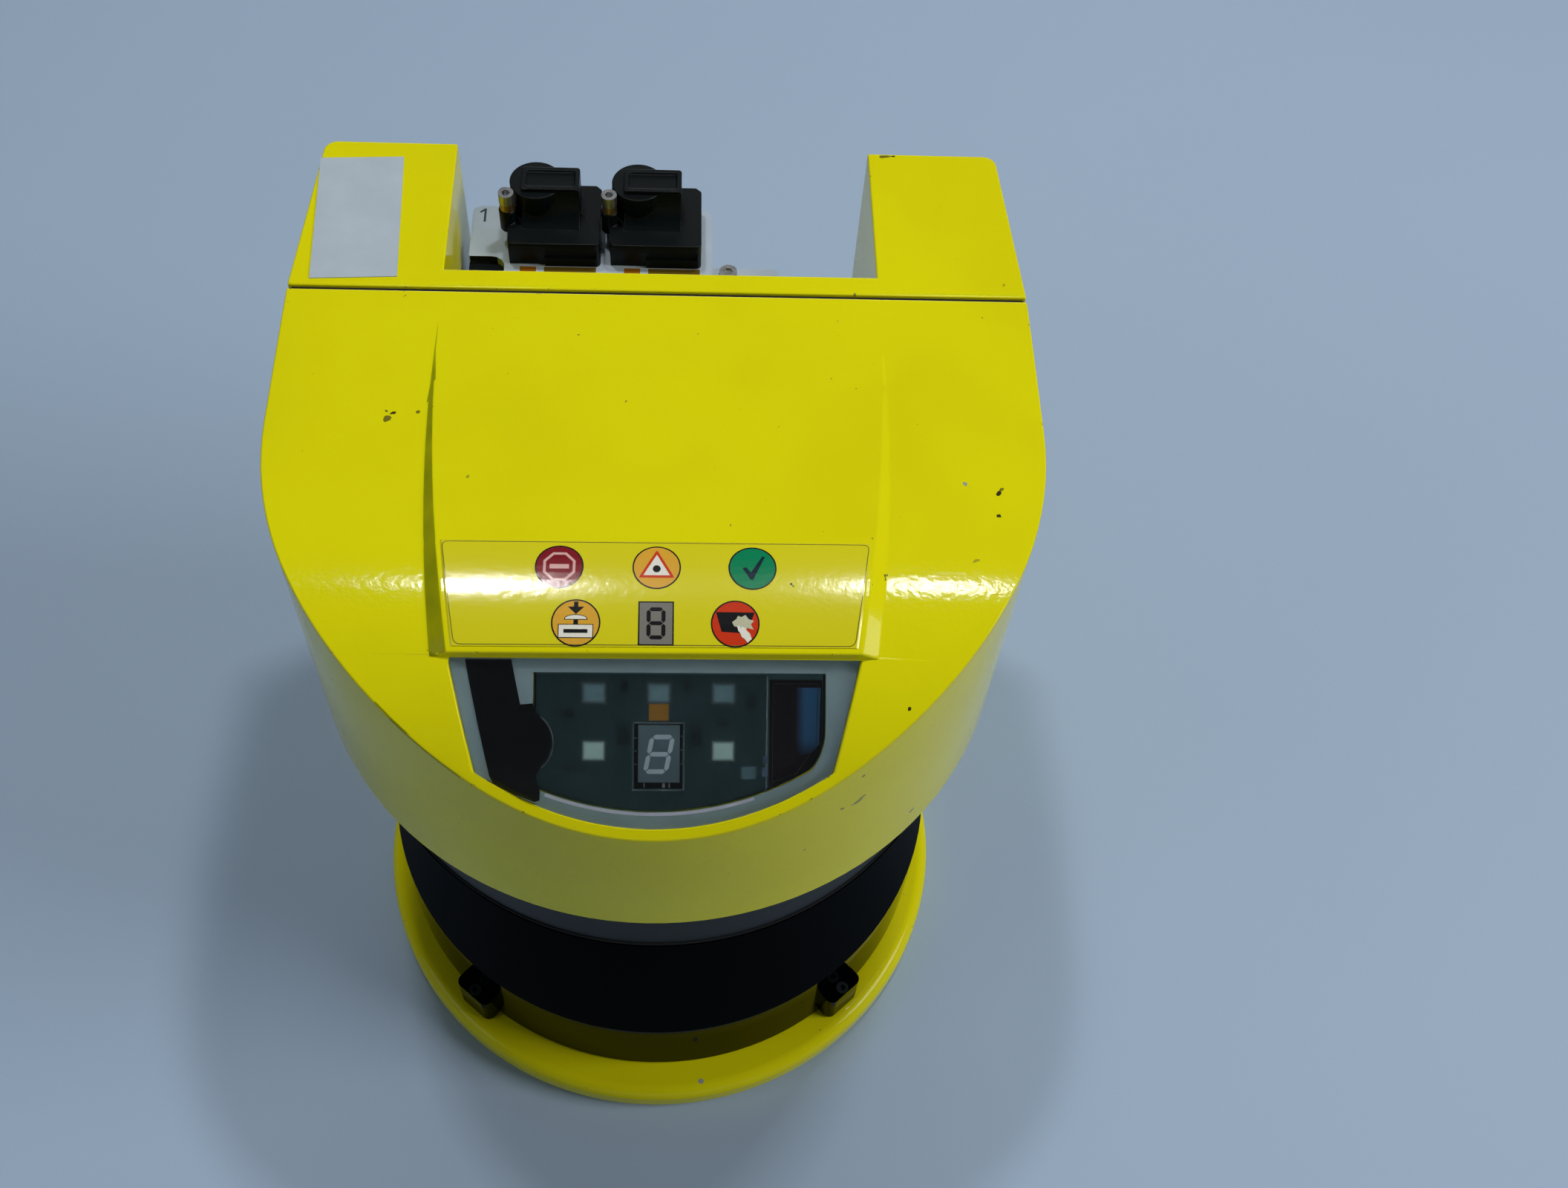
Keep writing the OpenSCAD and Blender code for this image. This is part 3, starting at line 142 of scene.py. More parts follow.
def seen_rays(tree):
    """1 for what the camera sees, straight or in metal and glass, and 0 for the light on surfaces."""
    path = tree.nodes.new("ShaderNodeLightPath")
    total = path.outputs["Is Camera Ray"]
    for name in ("Is Glossy Ray", "Is Transmission Ray"):
        most = tree.nodes.new("ShaderNodeMath")
        most.operation = "MAXIMUM"
        tree.links.new(total, most.inputs[0])
        tree.links.new(path.outputs[name], most.inputs[1])
        total = most.outputs[0]
    return total


def add_room():
    """A room that is pale near the horizon to the camera, and lights the object only faintly."""
    world = bpy.data.worlds.new("studio")
    world.use_nodes = True
    tree = world.node_tree
    background = tree.nodes["Background"]
    background.inputs["Color"].default_value = SKY
    coordinates = tree.nodes.new("ShaderNodeTexCoord").outputs["Generated"]
    height = tree.nodes.new("ShaderNodeSeparateXYZ")
    tree.links.new(coordinates, height.inputs[0])
    band = tree.nodes.new("ShaderNodeMapRange")
    for key, value in (("From Min", 0.12), ("From Max", 0.35), ("To Min", 1.0), ("To Max", 0.0)):
        band.inputs[key].default_value = value
    tree.links.new(height.outputs["Z"], band.inputs["Value"])
    shown = tree.nodes.new("ShaderNodeMath")
    shown.operation = "MULTIPLY"
    tree.links.new(seen_rays(tree), shown.inputs[0])
    tree.links.new(band.outputs["Result"], shown.inputs[1])
    level = tree.nodes.new("ShaderNodeMapRange")
    level.inputs["To Min"].default_value = 0.05      # what lights the object
    level.inputs["To Max"].default_value = BACKDROP
    tree.links.new(shown.outputs[0], level.inputs["Value"])
    tree.links.new(level.outputs["Result"], background.inputs["Strength"])
    bpy.context.scene.world = world


def add_lights():
    bpy.context.scene.view_settings.view_transform = "Standard"
    add_room()
    neutral = (1, 0.99, 0.97)
    add_area_light("strip_left", (-0.175, 0.27, 1.38), (0.085, 0.075), 3.7, neutral)
    add_area_light("strip_left_end", (-0.25, 0.27, 1.38), (0.06, 0.09), 0.45, neutral)
    add_area_light("strip_right", (0.25, 0.28, 1.38), (0.13, 0.085), 4.8, neutral)
    add_area_light("fill_right", (1.38, -0.30, 1.05), (0.7, 0.7), 15.5, (1, 0.97, 0.93))
    add_area_light("fill_left", (-1.2, -0.5, 0.8), (0.7, 0.7), 2.4, (0.92, 0.96, 1))
    add_area_light("fill_back", (0.1, 1.6, 0.55), (1.0, 0.6), 6.0, (0.95, 0.97, 1))
    add_area_light("fill_front", (0.15, -1.4, 0.42), (1.2, 0.4), 0.9, (1, 0.95, 0.86))


def add_floor():
    """A plain pale floor, which passes into the room's colour with distance."""
    half, z = 6, -0.05 * MM
    mesh = bpy.data.meshes.new("floor")
    corners = [(-half, -half, z), (half, -half, z), (half, half, z), (-half, half, z)]
    mesh.from_pydata(corners, [], [(0, 1, 2, 3)])
    floor = bpy.data.objects.new("floor", mesh)
    bpy.context.scene.collection.objects.link(floor)
    mat = Surface("floor_cloth", (0.32, 0.42, 0.56), roughness=0.85, specular=0.2)
    mat.colour(mat.mix(mat.noise(3.0, detail=3), (0.30, 0.40, 0.54), (0.34, 0.44, 0.58)))
    mat.bump(mat.noise(900, detail=2), distance=0.05 * MM, strength=0.5)
    mat.shader.inputs["Emission Color"].default_value = SKY
    reach = mat.node("ShaderNodeVectorMath", operation="LENGTH")
    mat.link(mat.place(), reach.inputs[0])
    # The share of the room's colour: none up to 0.8 m away, all from 2.6 m
    far = mat.math("MULTIPLY_ADD", reach.outputs["Value"], 0.55, -0.45, clamp=True)
    glow = mat.math("MULTIPLY", mat.math("MULTIPLY", far, seen_rays(mat.tree)), BACKDROP)
    mat.link(glow, mat.shader.inputs["Emission Strength"])
    mesh.materials.append(mat.material)


# ---- materials ----

class Surface:
    """A material with its Principled shader, and short calls for the nodes that feed it."""

    def __init__(self, name, colour, roughness=0.5, metallic=0.0, specular=0.5, ior=1.5,
                 transmission=0.0, emission=0.0):
        self.name = name
        self.material = bpy.data.materials.new(name)
        self.material.use_nodes = True
        self.tree = self.material.node_tree
        self.shader = self.tree.nodes["Principled BSDF"]
        values = {"Base Color": (*colour, 1), "Roughness": roughness, "Metallic": metallic,
                  "Specular IOR Level": specular, "IOR": ior, "Transmission Weight": transmission}
        if emission:
            values |= {"Emission Color": (*colour, 1), "Emission Strength": emission}
        for key, value in values.items():
            self.shader.inputs[key].default_value = value
        self.coordinates = None

    def node(self, kind, **settings):
        new = self.tree.nodes.new(kind)
        for key, value in settings.items():
            setattr(new, key, value)
        return new

    def link(self, source, socket):
        """Feeds a socket from a number, a colour or a node's output."""
        if isinstance(source, (int, float)):
            socket.default_value = source
        elif isinstance(source, tuple):
            socket.default_value = (*source, 1)
        else:
            self.tree.links.new(source, socket)

    def place(self):
        """Coordinates in metres, fixed to the object."""
        if self.coordinates is None:
            self.coordinates = self.node("ShaderNodeTexCoord").outputs["Object"]
        return self.coordinates

    def axes(self):
        """The same coordinates, with one output for each axis."""
        split = self.node("ShaderNodeSeparateXYZ")
        self.link(self.place(), split.inputs[0])
        return split.outputs

    def stretched(self, scale):
        mapping = self.node("ShaderNodeMapping")
        self.link(self.place(), mapping.inputs["Vector"])
        mapping.inputs["Scale"].default_value = scale
        return mapping.outputs["Vector"]

    def noise(self, scale, detail=2.0, roughness=0.5, vector=None):
        noise = self.node("ShaderNodeTexNoise")
        self.link(vector or self.place(), noise.inputs["Vector"])
        noise.inputs["Scale"].default_value = scale
        noise.inputs["Detail"].default_value = detail
        noise.inputs["Roughness"].default_value = roughness
        return noise.outputs["Fac"]

    def ramp(self, value, low, high):
        """0 below low and 1 above high, with an eased step between them."""
        ramp = self.node("ShaderNodeValToRGB")
        ramp.color_ramp.interpolation = "EASE"
        ramp.color_ramp.elements[0].position = low
        ramp.color_ramp.elements[1].position = high
        self.link(value, ramp.inputs["Fac"])
        return ramp.outputs["Color"]

    def math(self, operation, *values, clamp=False):
        new = self.node("ShaderNodeMath", operation=operation, use_clamp=clamp)
        for value, socket in zip(values, new.inputs):
            self.link(value, socket)
        return new.outputs[0]

    def mix(self, factor, a, b):
        new = self.node("ShaderNodeMix", data_type="RGBA")
        self.link(factor, new.inputs["Factor"])
        self.link(a, new.inputs[6])
        self.link(b, new.inputs[7])
        return new.outputs[2]

    def colour(self, source):
        self.link(source, self.shader.inputs["Base Color"])

    def roughness(self, factor, low, high):
        span = self.node("ShaderNodeMapRange")
        span.inputs["To Min"].default_value = low
        span.inputs["To Max"].default_value = high
        self.link(factor, span.inputs["Value"])
        self.link(span.outputs["Result"], self.shader.inputs["Roughness"])

    def bump(self, height, distance, strength=1.0):
        bump = self.node("ShaderNodeBump")
        bump.inputs["Strength"].default_value = strength
        bump.inputs["Distance"].default_value = distance
        self.link(height, bump.inputs["Height"])
        self.link(bump.outputs["Normal"], self.shader.inputs["Normal"])


def dimmed(colour, share):
    return tuple(c * share for c in colour)


def yellow_enamel(name="yellow_enamel", chips=0.0, soil_and_shade=0.0, specular=0.12):
    """Glossy paint with a fine orange peel and specks of dust. Chips is the height of the noise
    above which the paint is worn away, and soil_and_shade is the least share of dirt and painted
    shade."""
    mat = Surface(name, (0.62, 0.59, 0.003), roughness=0.11, specular=specular)
    tone = mat.ramp(mat.noise(18, detail=3), 0.35, 0.65)
    colour = mat.mix(tone, (0.60, 0.565, 0.003), (0.64, 0.61, 0.003))
    specks = mat.ramp(mat.noise(700, detail=1), 0.80, 0.83)
    colour = mat.mix(specks, colour, (0.22, 0.20, 0.03))
    if chips:
        worn = mat.ramp(mat.noise(330, detail=4, roughness=0.7), chips, chips + 0.02)
        colour = mat.mix(worn, colour, (0.07, 0.065, 0.03))
    # Dirt and painted shade: a dark olive, mottled by noise, mixed into the paint
    if soil_and_shade:
        soil_and_shade_share = mat.math("MULTIPLY_ADD", mat.noise(120, detail=4), 0.5, soil_and_shade)
        colour = mat.mix(soil_and_shade_share, colour, (0.10, 0.135, 0.004))
    mat.colour(colour)
    mat.bump(mat.noise(750, detail=2), distance=0.05 * MM, strength=0.8)
    return mat


def plain_plastic(name, colour, roughness, grain=0.5, specular=0.5):
    mat = Surface(name, colour, roughness=roughness, specular=specular)
    mat.colour(mat.mix(mat.noise(160, detail=3), dimmed(colour, 0.8), colour))
    mat.bump(mat.noise(1800, detail=1), distance=0.03 * MM, strength=grain)
    return mat


def metal(name, colour, roughness, brushed=(1, 1, 1)):
    mat = Surface(name, colour, roughness=roughness, metallic=1.0)
    streak = mat.noise(900, detail=3, vector=mat.stretched(brushed))
    mat.colour(mat.mix(streak, dimmed(colour, 0.82), colour))
    mat.roughness(streak, roughness * 0.8, roughness * 1.25)
    mat.bump(streak, distance=0.01 * MM, strength=0.4)
    return mat


def screen_black():
    """The screen's polished black plastic, with a faint haze."""
    mat = Surface("screen_black", (0.0005, 0.0008, 0.0011), roughness=0.05, specular=0.04)
    mat.roughness(mat.noise(60, detail=4), 0.04, 0.09)
    return mat


def label_film():
    mat = Surface("label_film", (0.60, 0.56, 0.010), roughness=0.13)
    mat.bump(mat.noise(620, detail=3), distance=0.05 * MM, strength=0.55)
    mat.colour(mat.mix(mat.noise(40, detail=3), (0.585, 0.545, 0.010), (0.615, 0.575, 0.010)))
    return mat


def mirror_silver():
    mat = Surface("mirror_silver", (0.9, 0.92, 0.94), roughness=0.03, metallic=1.0)
    mat.roughness(mat.noise(80), 0.02, 0.05)
    return mat


def milky_lamp():
    """Pale lamps with a faint painted glow, which stands in for the light they get through the
    frosted sheet: strong on the front row, dimmer on the rear row as painted shade, and weakest at
    the right end.
    """
    mat = Surface("lamp_milky", (0.62, 0.68, 0.66), roughness=0.4, emission=1.0)
    mat.colour(mat.mix(mat.noise(300), (0.55, 0.60, 0.58), (0.66, 0.72, 0.70)))
    axes = mat.axes()
    rear_row = mat.math("GREATER_THAN", axes["Y"], -52 * MM)
    right_end = mat.math("GREATER_THAN", axes["X"], 15 * MM)
    # Painted light and shade: the front row glows brightly, the rear row dimly
    glow = mat.mix(rear_row, (0.30, 0.35, 0.32), (0.07, 0.105, 0.12))
    glow = mat.mix(right_end, glow, (0.02, 0.035, 0.05))
    mat.link(glow, mat.shader.inputs["Emission Color"])
    return mat


def dark_board():
    """The display's board, just lit from within so that it shows through the frosted sheet."""
    mat = Surface("board_dark", (0.022, 0.050, 0.056), roughness=0.5, emission=0.35)
    shade = mat.ramp(mat.noise(140, detail=2), 0.35, 0.7)
    mat.colour(mat.mix(shade, (0.015, 0.035, 0.04), (0.03, 0.065, 0.07)))
    mat.bump(mat.noise(1500, detail=1), distance=0.03 * MM)
    return mat


def make_materials():
    """The finish of each material slot in the record."""
    made = [
        yellow_enamel(),
        screen_black(),
        plain_plastic("chassis_grey", (0.009, 0.012, 0.014), 0.45, specular=0.15),
        plain_plastic("seal_rubber", (0.010, 0.010, 0.011), 0.8, grain=1.0, specular=0.2),
        plain_plastic("screw_black", (0.011, 0.016, 0.019), 0.35, specular=0.25),
        metal("screw_steel", (0.55, 0.56, 0.57), 0.32),
        Surface("pane_clear", (0.93, 0.96, 0.97), roughness=0.02, ior=1.47, transmission=1.0),
        plain_plastic("gasket_grey", (0.34, 0.47, 0.52), 0.5, grain=0.2),
        plain_plastic("foil_black", (0.0015, 0.002, 0.003), 0.35, grain=0.1, specular=0.2),
        dark_board(),
        plain_plastic("digit_grey", (0.10, 0.16, 0.19), 0.4, grain=0.1),
        milky_lamp(),
        plain_plastic("filter_red", (0.012, 0.006, 0.007), 0.12, grain=0.1),
        label_film(),
        plain_plastic("sticker_white", (0.40, 0.48, 0.55), 0.45, grain=0.2),
        plain_plastic("plastic_black", (0.0012, 0.0032, 0.0042), 0.38, grain=0.6, specular=0.15),
        plain_plastic("plate_grey", (0.42, 0.50, 0.60), 0.25, grain=0.2),
        metal("contact_gold", (0.80, 0.52, 0.20), 0.3),
        metal("collar_brass", (0.52, 0.34, 0.14), 0.35),
        metal("cast_aluminium", (0.58, 0.59, 0.60), 0.5),
        metal("copper_winding", (0.60, 0.26, 0.11), 0.4, brushed=(1, 1, 12)),
        metal("steel_bright", (0.62, 0.63, 0.64), 0.22),
        mirror_silver(),
        Surface("lens_glass", (0.9, 0.94, 0.97), roughness=0.01, transmission=1.0),
        plain_plastic("board_green", (0.012, 0.09, 0.045), 0.45),
        plain_plastic("chip_black", (0.012, 0.012, 0.013), 0.5),
        plain_plastic("ribbon_grey", (0.45, 0.45, 0.43), 0.55),
    ]
    return {mat.name: mat for mat in made}


def dress_frame(materials):
    """Gives each CAD node the finish of its slot."""
    slots = {m["slot"] for m in frame["record"]["materials"]}
    for obj in frame["nodes"].values():
        for slot in obj.material_slots:
            name = slot.material.name.split(".")[0] if slot.material else ""
            if name in slots:
                slot.material = materials[name].material


# ---- mesh helpers ----

def clamped(point, box):
    """The point, moved to the nearest place in the box if it stands out of it."""
    return [min(max(c, low), high) for c, low, high in zip(point, *box)]


def add_piece(name, mesh, slot):
    obj = bpy.data.objects.new(name, mesh)
    bpy.context.scene.collection.objects.link(obj)
    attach(obj, BODY)
    return obj


def weighted_normals(mesh):
    """Normals that keep large faces flat beside their rounded edges."""
    obj = bpy.data.objects.new("weighting", mesh)
    bpy.context.scene.collection.objects.link(obj)
    modifier = obj.modifiers.new("weighting", "WEIGHTED_NORMAL")
    modifier.mode = "FACE_AREA"
    modifier.weight = 100
    modifier.keep_sharp = True
    graph = bpy.context.evaluated_depsgraph_get()
    result = bpy.data.meshes.new_from_object(obj.evaluated_get(graph))
    bpy.data.objects.remove(obj)
    return result


def rounded_copy(node, width, slot, finishes, grimy=None):
    """A copy of a CAD node with its flat facets joined up and its sharp edges rounded. The
    finishes are for its faces, its rounded edges and the faces that grimy(centre, normal)
    picks, which get dirt and painted shade."""
    bm = bmesh.new()
    bm.from_mesh(frame["nodes"][node].data)
    bmesh.ops.remove_doubles(bm, verts=bm.verts, dist=1e-6)
    bmesh.ops.dissolve_limit(bm, angle_limit=math.radians(0.05), verts=bm.verts, edges=bm.edges)

    def has_room(edge):
        length = edge.calc_length()
        return all(face.calc_area() > 1.3 * width * length for face in edge.link_faces)

    sharp = [e for e in bm.edges if len(e.link_faces) == 2 and has_room(e)
             and e.calc_face_angle() > math.radians(25)]
    bmesh.ops.bevel(bm, geom=sharp, offset=width, offset_type="OFFSET", segments=2, profile=0.5,
                    affect="EDGES", clamp_overlap=False, loop_slide=True,
                    material=1 if len(finishes) > 1 else -1)
    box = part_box(node)
    for vert in bm.verts:
        vert.co = clamped(vert.co, box)
    for face in bm.faces:
        face.smooth = True
        if grimy and grimy(face.calc_center_median(), face.normal):
            face.material_index = 2
    mesh = bpy.data.meshes.new(node + "_finished")
    bm.to_mesh(mesh)
    bm.free()
    for finish in finishes:
        mesh.materials.append(finish.material)
    mesh.set_sharp_from_angle(angle=math.radians(38))
    obj = add_piece(node + "_finished", weighted_normals(mesh), slot)
    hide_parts(node)


def filled(loops, step):
    """Vertices and faces of a flat shape: an outer loop less its holes, cut every step both ways."""
    bm = bmesh.new()
    for loop in loops:
        verts = [bm.verts.new((a, b, 0)) for a, b in loop]
        for i, vert in enumerate(verts):
            bm.edges.new((vert, verts[(i + 1) % len(verts)]))
    bmesh.ops.triangle_fill(bm, use_beauty=True, use_dissolve=True, edges=bm.edges[:],
                            normal=(0, 0, 1))
    for axis in (0, 1):
        low = min(v.co[axis] for v in bm.verts)
        high = max(v.co[axis] for v in bm.verts)
        normal = (1 - axis, axis, 0)
        for i in range(1, int((high - low) / step)):
            cut = low + i * step
            bmesh.ops.bisect_plane(bm, geom=bm.verts[:] + bm.edges[:] + bm.faces[:], dist=1e-7,
                                   plane_co=(cut, cut, 0), plane_no=normal)
    for face in bm.faces:
        if face.normal.z < 0:
            face.normal_flip()
    bm.verts.index_update()
    shape = [tuple(v.co[:2]) for v in bm.verts], [[v.index for v in f.verts] for f in bm.faces]
    bm.free()
    return shape


class Sheet:
    """Thin closed sheets laid on a surface, one on another, gathered into one piece.
    place(a, b) gives the point and normal of the surface for a place in mm."""

    def __init__(self, place, step=1.5):
        self.place = place
        self.step = step
        self.verts, self.faces, self.inks, self.materials = [], [], [], []

    def add(self, material, outer, *holes, level=0, thickness=1):
        """One sheet, from its level up by its thickness, both counted in layers of print."""
        if material not in self.materials:
            self.materials.append(material)
        ink = self.materials.index(material)
        flat, faces = filled([outer, *holes], self.step)
        first, count = len(self.verts), len(flat)
        for height in (level, level + thickness):
            for a, b in flat:
                point, normal = self.place(a, b)
                self.verts.append(clamped(point + normal * height * LAYER, cad_box))
        edges = {}
        for face in faces:
            self.faces.append([first + count + i for i in face])
            self.faces.append([first + i for i in reversed(face)])
            self.inks += [ink, ink]
            for i, j in zip(face, face[1:] + face[:1]):
                edges[i, j] = True
        for i, j in edges:
            if (j, i) not in edges:
                self.faces.append([first + i, first + j, first + count + j, first + count + i])
                self.inks.append(ink)
        return self

    def add_boxes(self, material, boxes, **settings):
        """Rectangles, each given by its middle, width and height."""
        for box in boxes:
            self.add(material, box_outline(*box), **settings)

    def piece(self, name, slot):
        mesh = bpy.data.meshes.new(name)
        mesh.from_pydata(self.verts, [], self.faces)
        for material in self.materials:
            mesh.materials.append(material.material)
        mesh.polygons.foreach_set("material_index", self.inks)
        return add_piece(name, mesh, slot)


# ---- outlines, in mm ----

def circle(radius, centre=(0, 0), count=40, turn=0.0):
    angles = [2 * math.pi * i / count + turn for i in range(count)]
    return [(centre[0] + radius * math.cos(t), centre[1] + radius * math.sin(t)) for t in angles]


def arc(radii, centre, start, end, count):
    """Points along a round or oval arc, between two angles in degrees."""
    angles = [math.radians(start + (end - start) * i / (count - 1)) for i in range(count)]
    return [(centre[0] + radii[0] * math.cos(t), centre[1] + radii[1] * math.sin(t))
            for t in angles]


def arc_band(inner_r, outer_r, centre, start, end, count):
    outer, inner = (arc((r, r), centre, start, end, count) for r in (outer_r, inner_r))
    return outer + inner[::-1]


def box_outline(x, y, w, h):
    return [(x - w / 2, y - h / 2), (x + w / 2, y - h / 2),
            (x + w / 2, y + h / 2), (x - w / 2, y + h / 2)]


def corners_of(outline):
    """Each point of the outline, between the points before and after it."""
    count = len(outline)
    for i in range(count):
        yield tuple(Vector(outline[j % count]) for j in (i - 1, i, i + 1))


def inset(outline, amount):
    """The outline moved inwards by amount. Its points go anticlockwise."""
    result = []
    for before, here, after in corners_of(outline):
        a, b = (here - before).normalized(), (after - here).normalized()
        normals = Vector((-a.y, a.x)), Vector((-b.y, b.x))
        bisector = (normals[0] + normals[1]).normalized()
        result.append(tuple(here + bisector * amount / max(bisector.dot(normals[0]), 0.3)))
    return result


def rounded_outline(outline, radius, count=6):
    """The outline with each corner turned into a curve that starts radius before it."""
    result = []
    for before, here, after in corners_of(outline):
        start = here + (before - here).normalized() * radius
        end = here + (after - here).normalized() * radius
        for k in range(count + 1):
            t = k / count
            result.append(tuple(start * (1 - t) ** 2 + here * 2 * t * (1 - t) + end * t ** 2))
    return result


def figure_eight(w, h, stroke, slant=0.0, middle=(0, 0)):
    """The seven bars of a figure 8, with pointed ends."""
    x, y, gap, half = w / 2, h / 2, stroke * 0.14, stroke / 2
    bars = []
    for level in (y, 0, -y):
        bars.append([(-x + gap, level), (-x + gap + half, level - half),
                     (x - gap - half, level - half), (x - gap, level),
                     (x - gap - half, level + half), (-x + gap + half, level + half)])
    for side in (-x, x):
        for low in (-y, 0):
            a, b = low + gap, low + y - gap
            bars.append([(side, a), (side + half, a + half), (side + half, b - half), (side, b),
                         (side - half, b - half), (side - half, a + half)])
    return [[(a + slant * b + middle[0], b + middle[1]) for a, b in bar] for bar in bars]


# ---- surfaces that the sheets lie on ----

def facing(node):
    """A call that gives the point and normal where a ray meets a CAD node."""
    mesh = frame["nodes"][node].data
    tree = BVHTree.FromPolygons([v.co for v in mesh.vertices], [p.vertices for p in mesh.polygons])

    def meet(start, direction):
        point, normal, _, _ = tree.ray_cast(start, direction)
        if point is None:
            raise ValueError(f"nothing of {node} along the ray from {start}")
        return point, normal
    return meet


def on_nose(centre_x, centre_y):
    """The label's curved surface about a centre, measured along the sheet."""
    radius = NOSE_R + LABEL_T
    start = math.asin((centre_y * MM - NOSE_START_Y) / NOSE_R)

    def place(a, b):
        angle = start + b * MM / radius
        normal = Vector((0, math.sin(angle), math.cos(angle)))
        middle = Vector(((centre_x + a) * MM, NOSE_START_Y, TOP - NOSE_R))
        return middle + normal * radius, normal
    return place


def on_top(node):
    """The upper surface of a CAD node, in plan."""
    meet = facing(node)
    return lambda a, b: meet(Vector((a * MM, b * MM, 0.3)), Vector((0, 0, -1)))


def on_front(node, centre_y):
    """The upright front of a CAD node, by the angle round a vertical axis and the height."""
    meet = facing(node)

    def place(a, b):
        outward = Vector((math.sin(math.radians(a)), -math.cos(math.radians(a)), 0))
        return meet(Vector((0, centre_y, b * MM)) + outward * 0.3, -outward)
    return place


def display_point(x, u, w):
    return Vector((x * MM, DISPLAY_Y + (u * math.cos(SLOPE) - w * math.sin(SLOPE)) * MM,
                   DISPLAY_Z + (u * math.sin(SLOPE) + w * math.cos(SLOPE)) * MM))


def on_display(w):
    """A level of the display's sloping frame."""
    normal = Vector((0, -math.sin(SLOPE), math.cos(SLOPE)))
    return lambda a, b: (display_point(a, b, w), normal)


def onto_display(node):
    """The surface of a CAD node seen along the display's normal."""
    meet = facing(node)
    down = Vector((0, math.sin(SLOPE), -math.cos(SLOPE)))
    return lambda a, b: meet(display_point(a, b, 60), down)


# ---- inks ----

def ink(name, colour):
    mat = Surface(name, colour, roughness=0.13)
    mat.colour(mat.mix(mat.noise(1300, detail=2), dimmed(colour, 0.88), colour))
    mat.bump(mat.noise(900, detail=2), distance=0.02 * MM, strength=0.4)
    return mat


def glowing_ink(name, colour, emission, roughness=0.5):
    mat = Surface(name, colour, roughness=roughness, emission=emission)
    mat.bump(mat.noise(900, detail=2), distance=0.02 * MM)
    return mat


def make_inks():
    colours = {
        # The label
        "black": (0.010, 0.010, 0.012), "white": (0.74, 0.74, 0.66), "grey": (0.19, 0.185, 0.165),
        "dark_red": (0.20, 0.009, 0.017), "rose": (0.66, 0.40, 0.38), "red": (0.56, 0.038, 0.010),
        "amber": (0.66, 0.36, 0.035), "green": (0.001, 0.21, 0.085), "navy": (0.003, 0.018, 0.035),
        "cloth": (0.50, 0.50, 0.36), "line": (0.16, 0.15, 0.02),
        # The display
        "segment": (0.50, 0.60, 0.67), "chip": (0.006, 0.007, 0.008), "solder": (0.30, 0.32, 0.33),
        "solder_dim": (0.09, 0.13, 0.14), "smoke_edge": (0.22, 0.27, 0.30),
        "pin_blue": (0.10, 0.15, 0.24), "filter_line": (0.045, 0.04, 0.04),
        # Painted highlights on the gasket's cut edge and the mask's rim
        "cut_edge": (0.85, 0.85, 1.0), "mask_rim": (0.13, 0.16, 0.18),
        # Wear
        "chip_dark": (0.035, 0.03, 0.012), "chip_pale": (0.30, 0.32, 0.30),
        "chip_olive": (0.17, 0.155, 0.012), "chip_faint": (0.36, 0.34, 0.01),
        # The connector plate's figure, and painted reflections of the yellow bar in the plate
        "plate_ink": (0.05, 0.07, 0.10), "gold_dim": (0.13, 0.085, 0.012),
        "orange_dim": (0.30, 0.11, 0.008)}
    return {name: ink("ink_" + name, colour) for name, colour in colours.items()}


# ---- the label and its icons ----

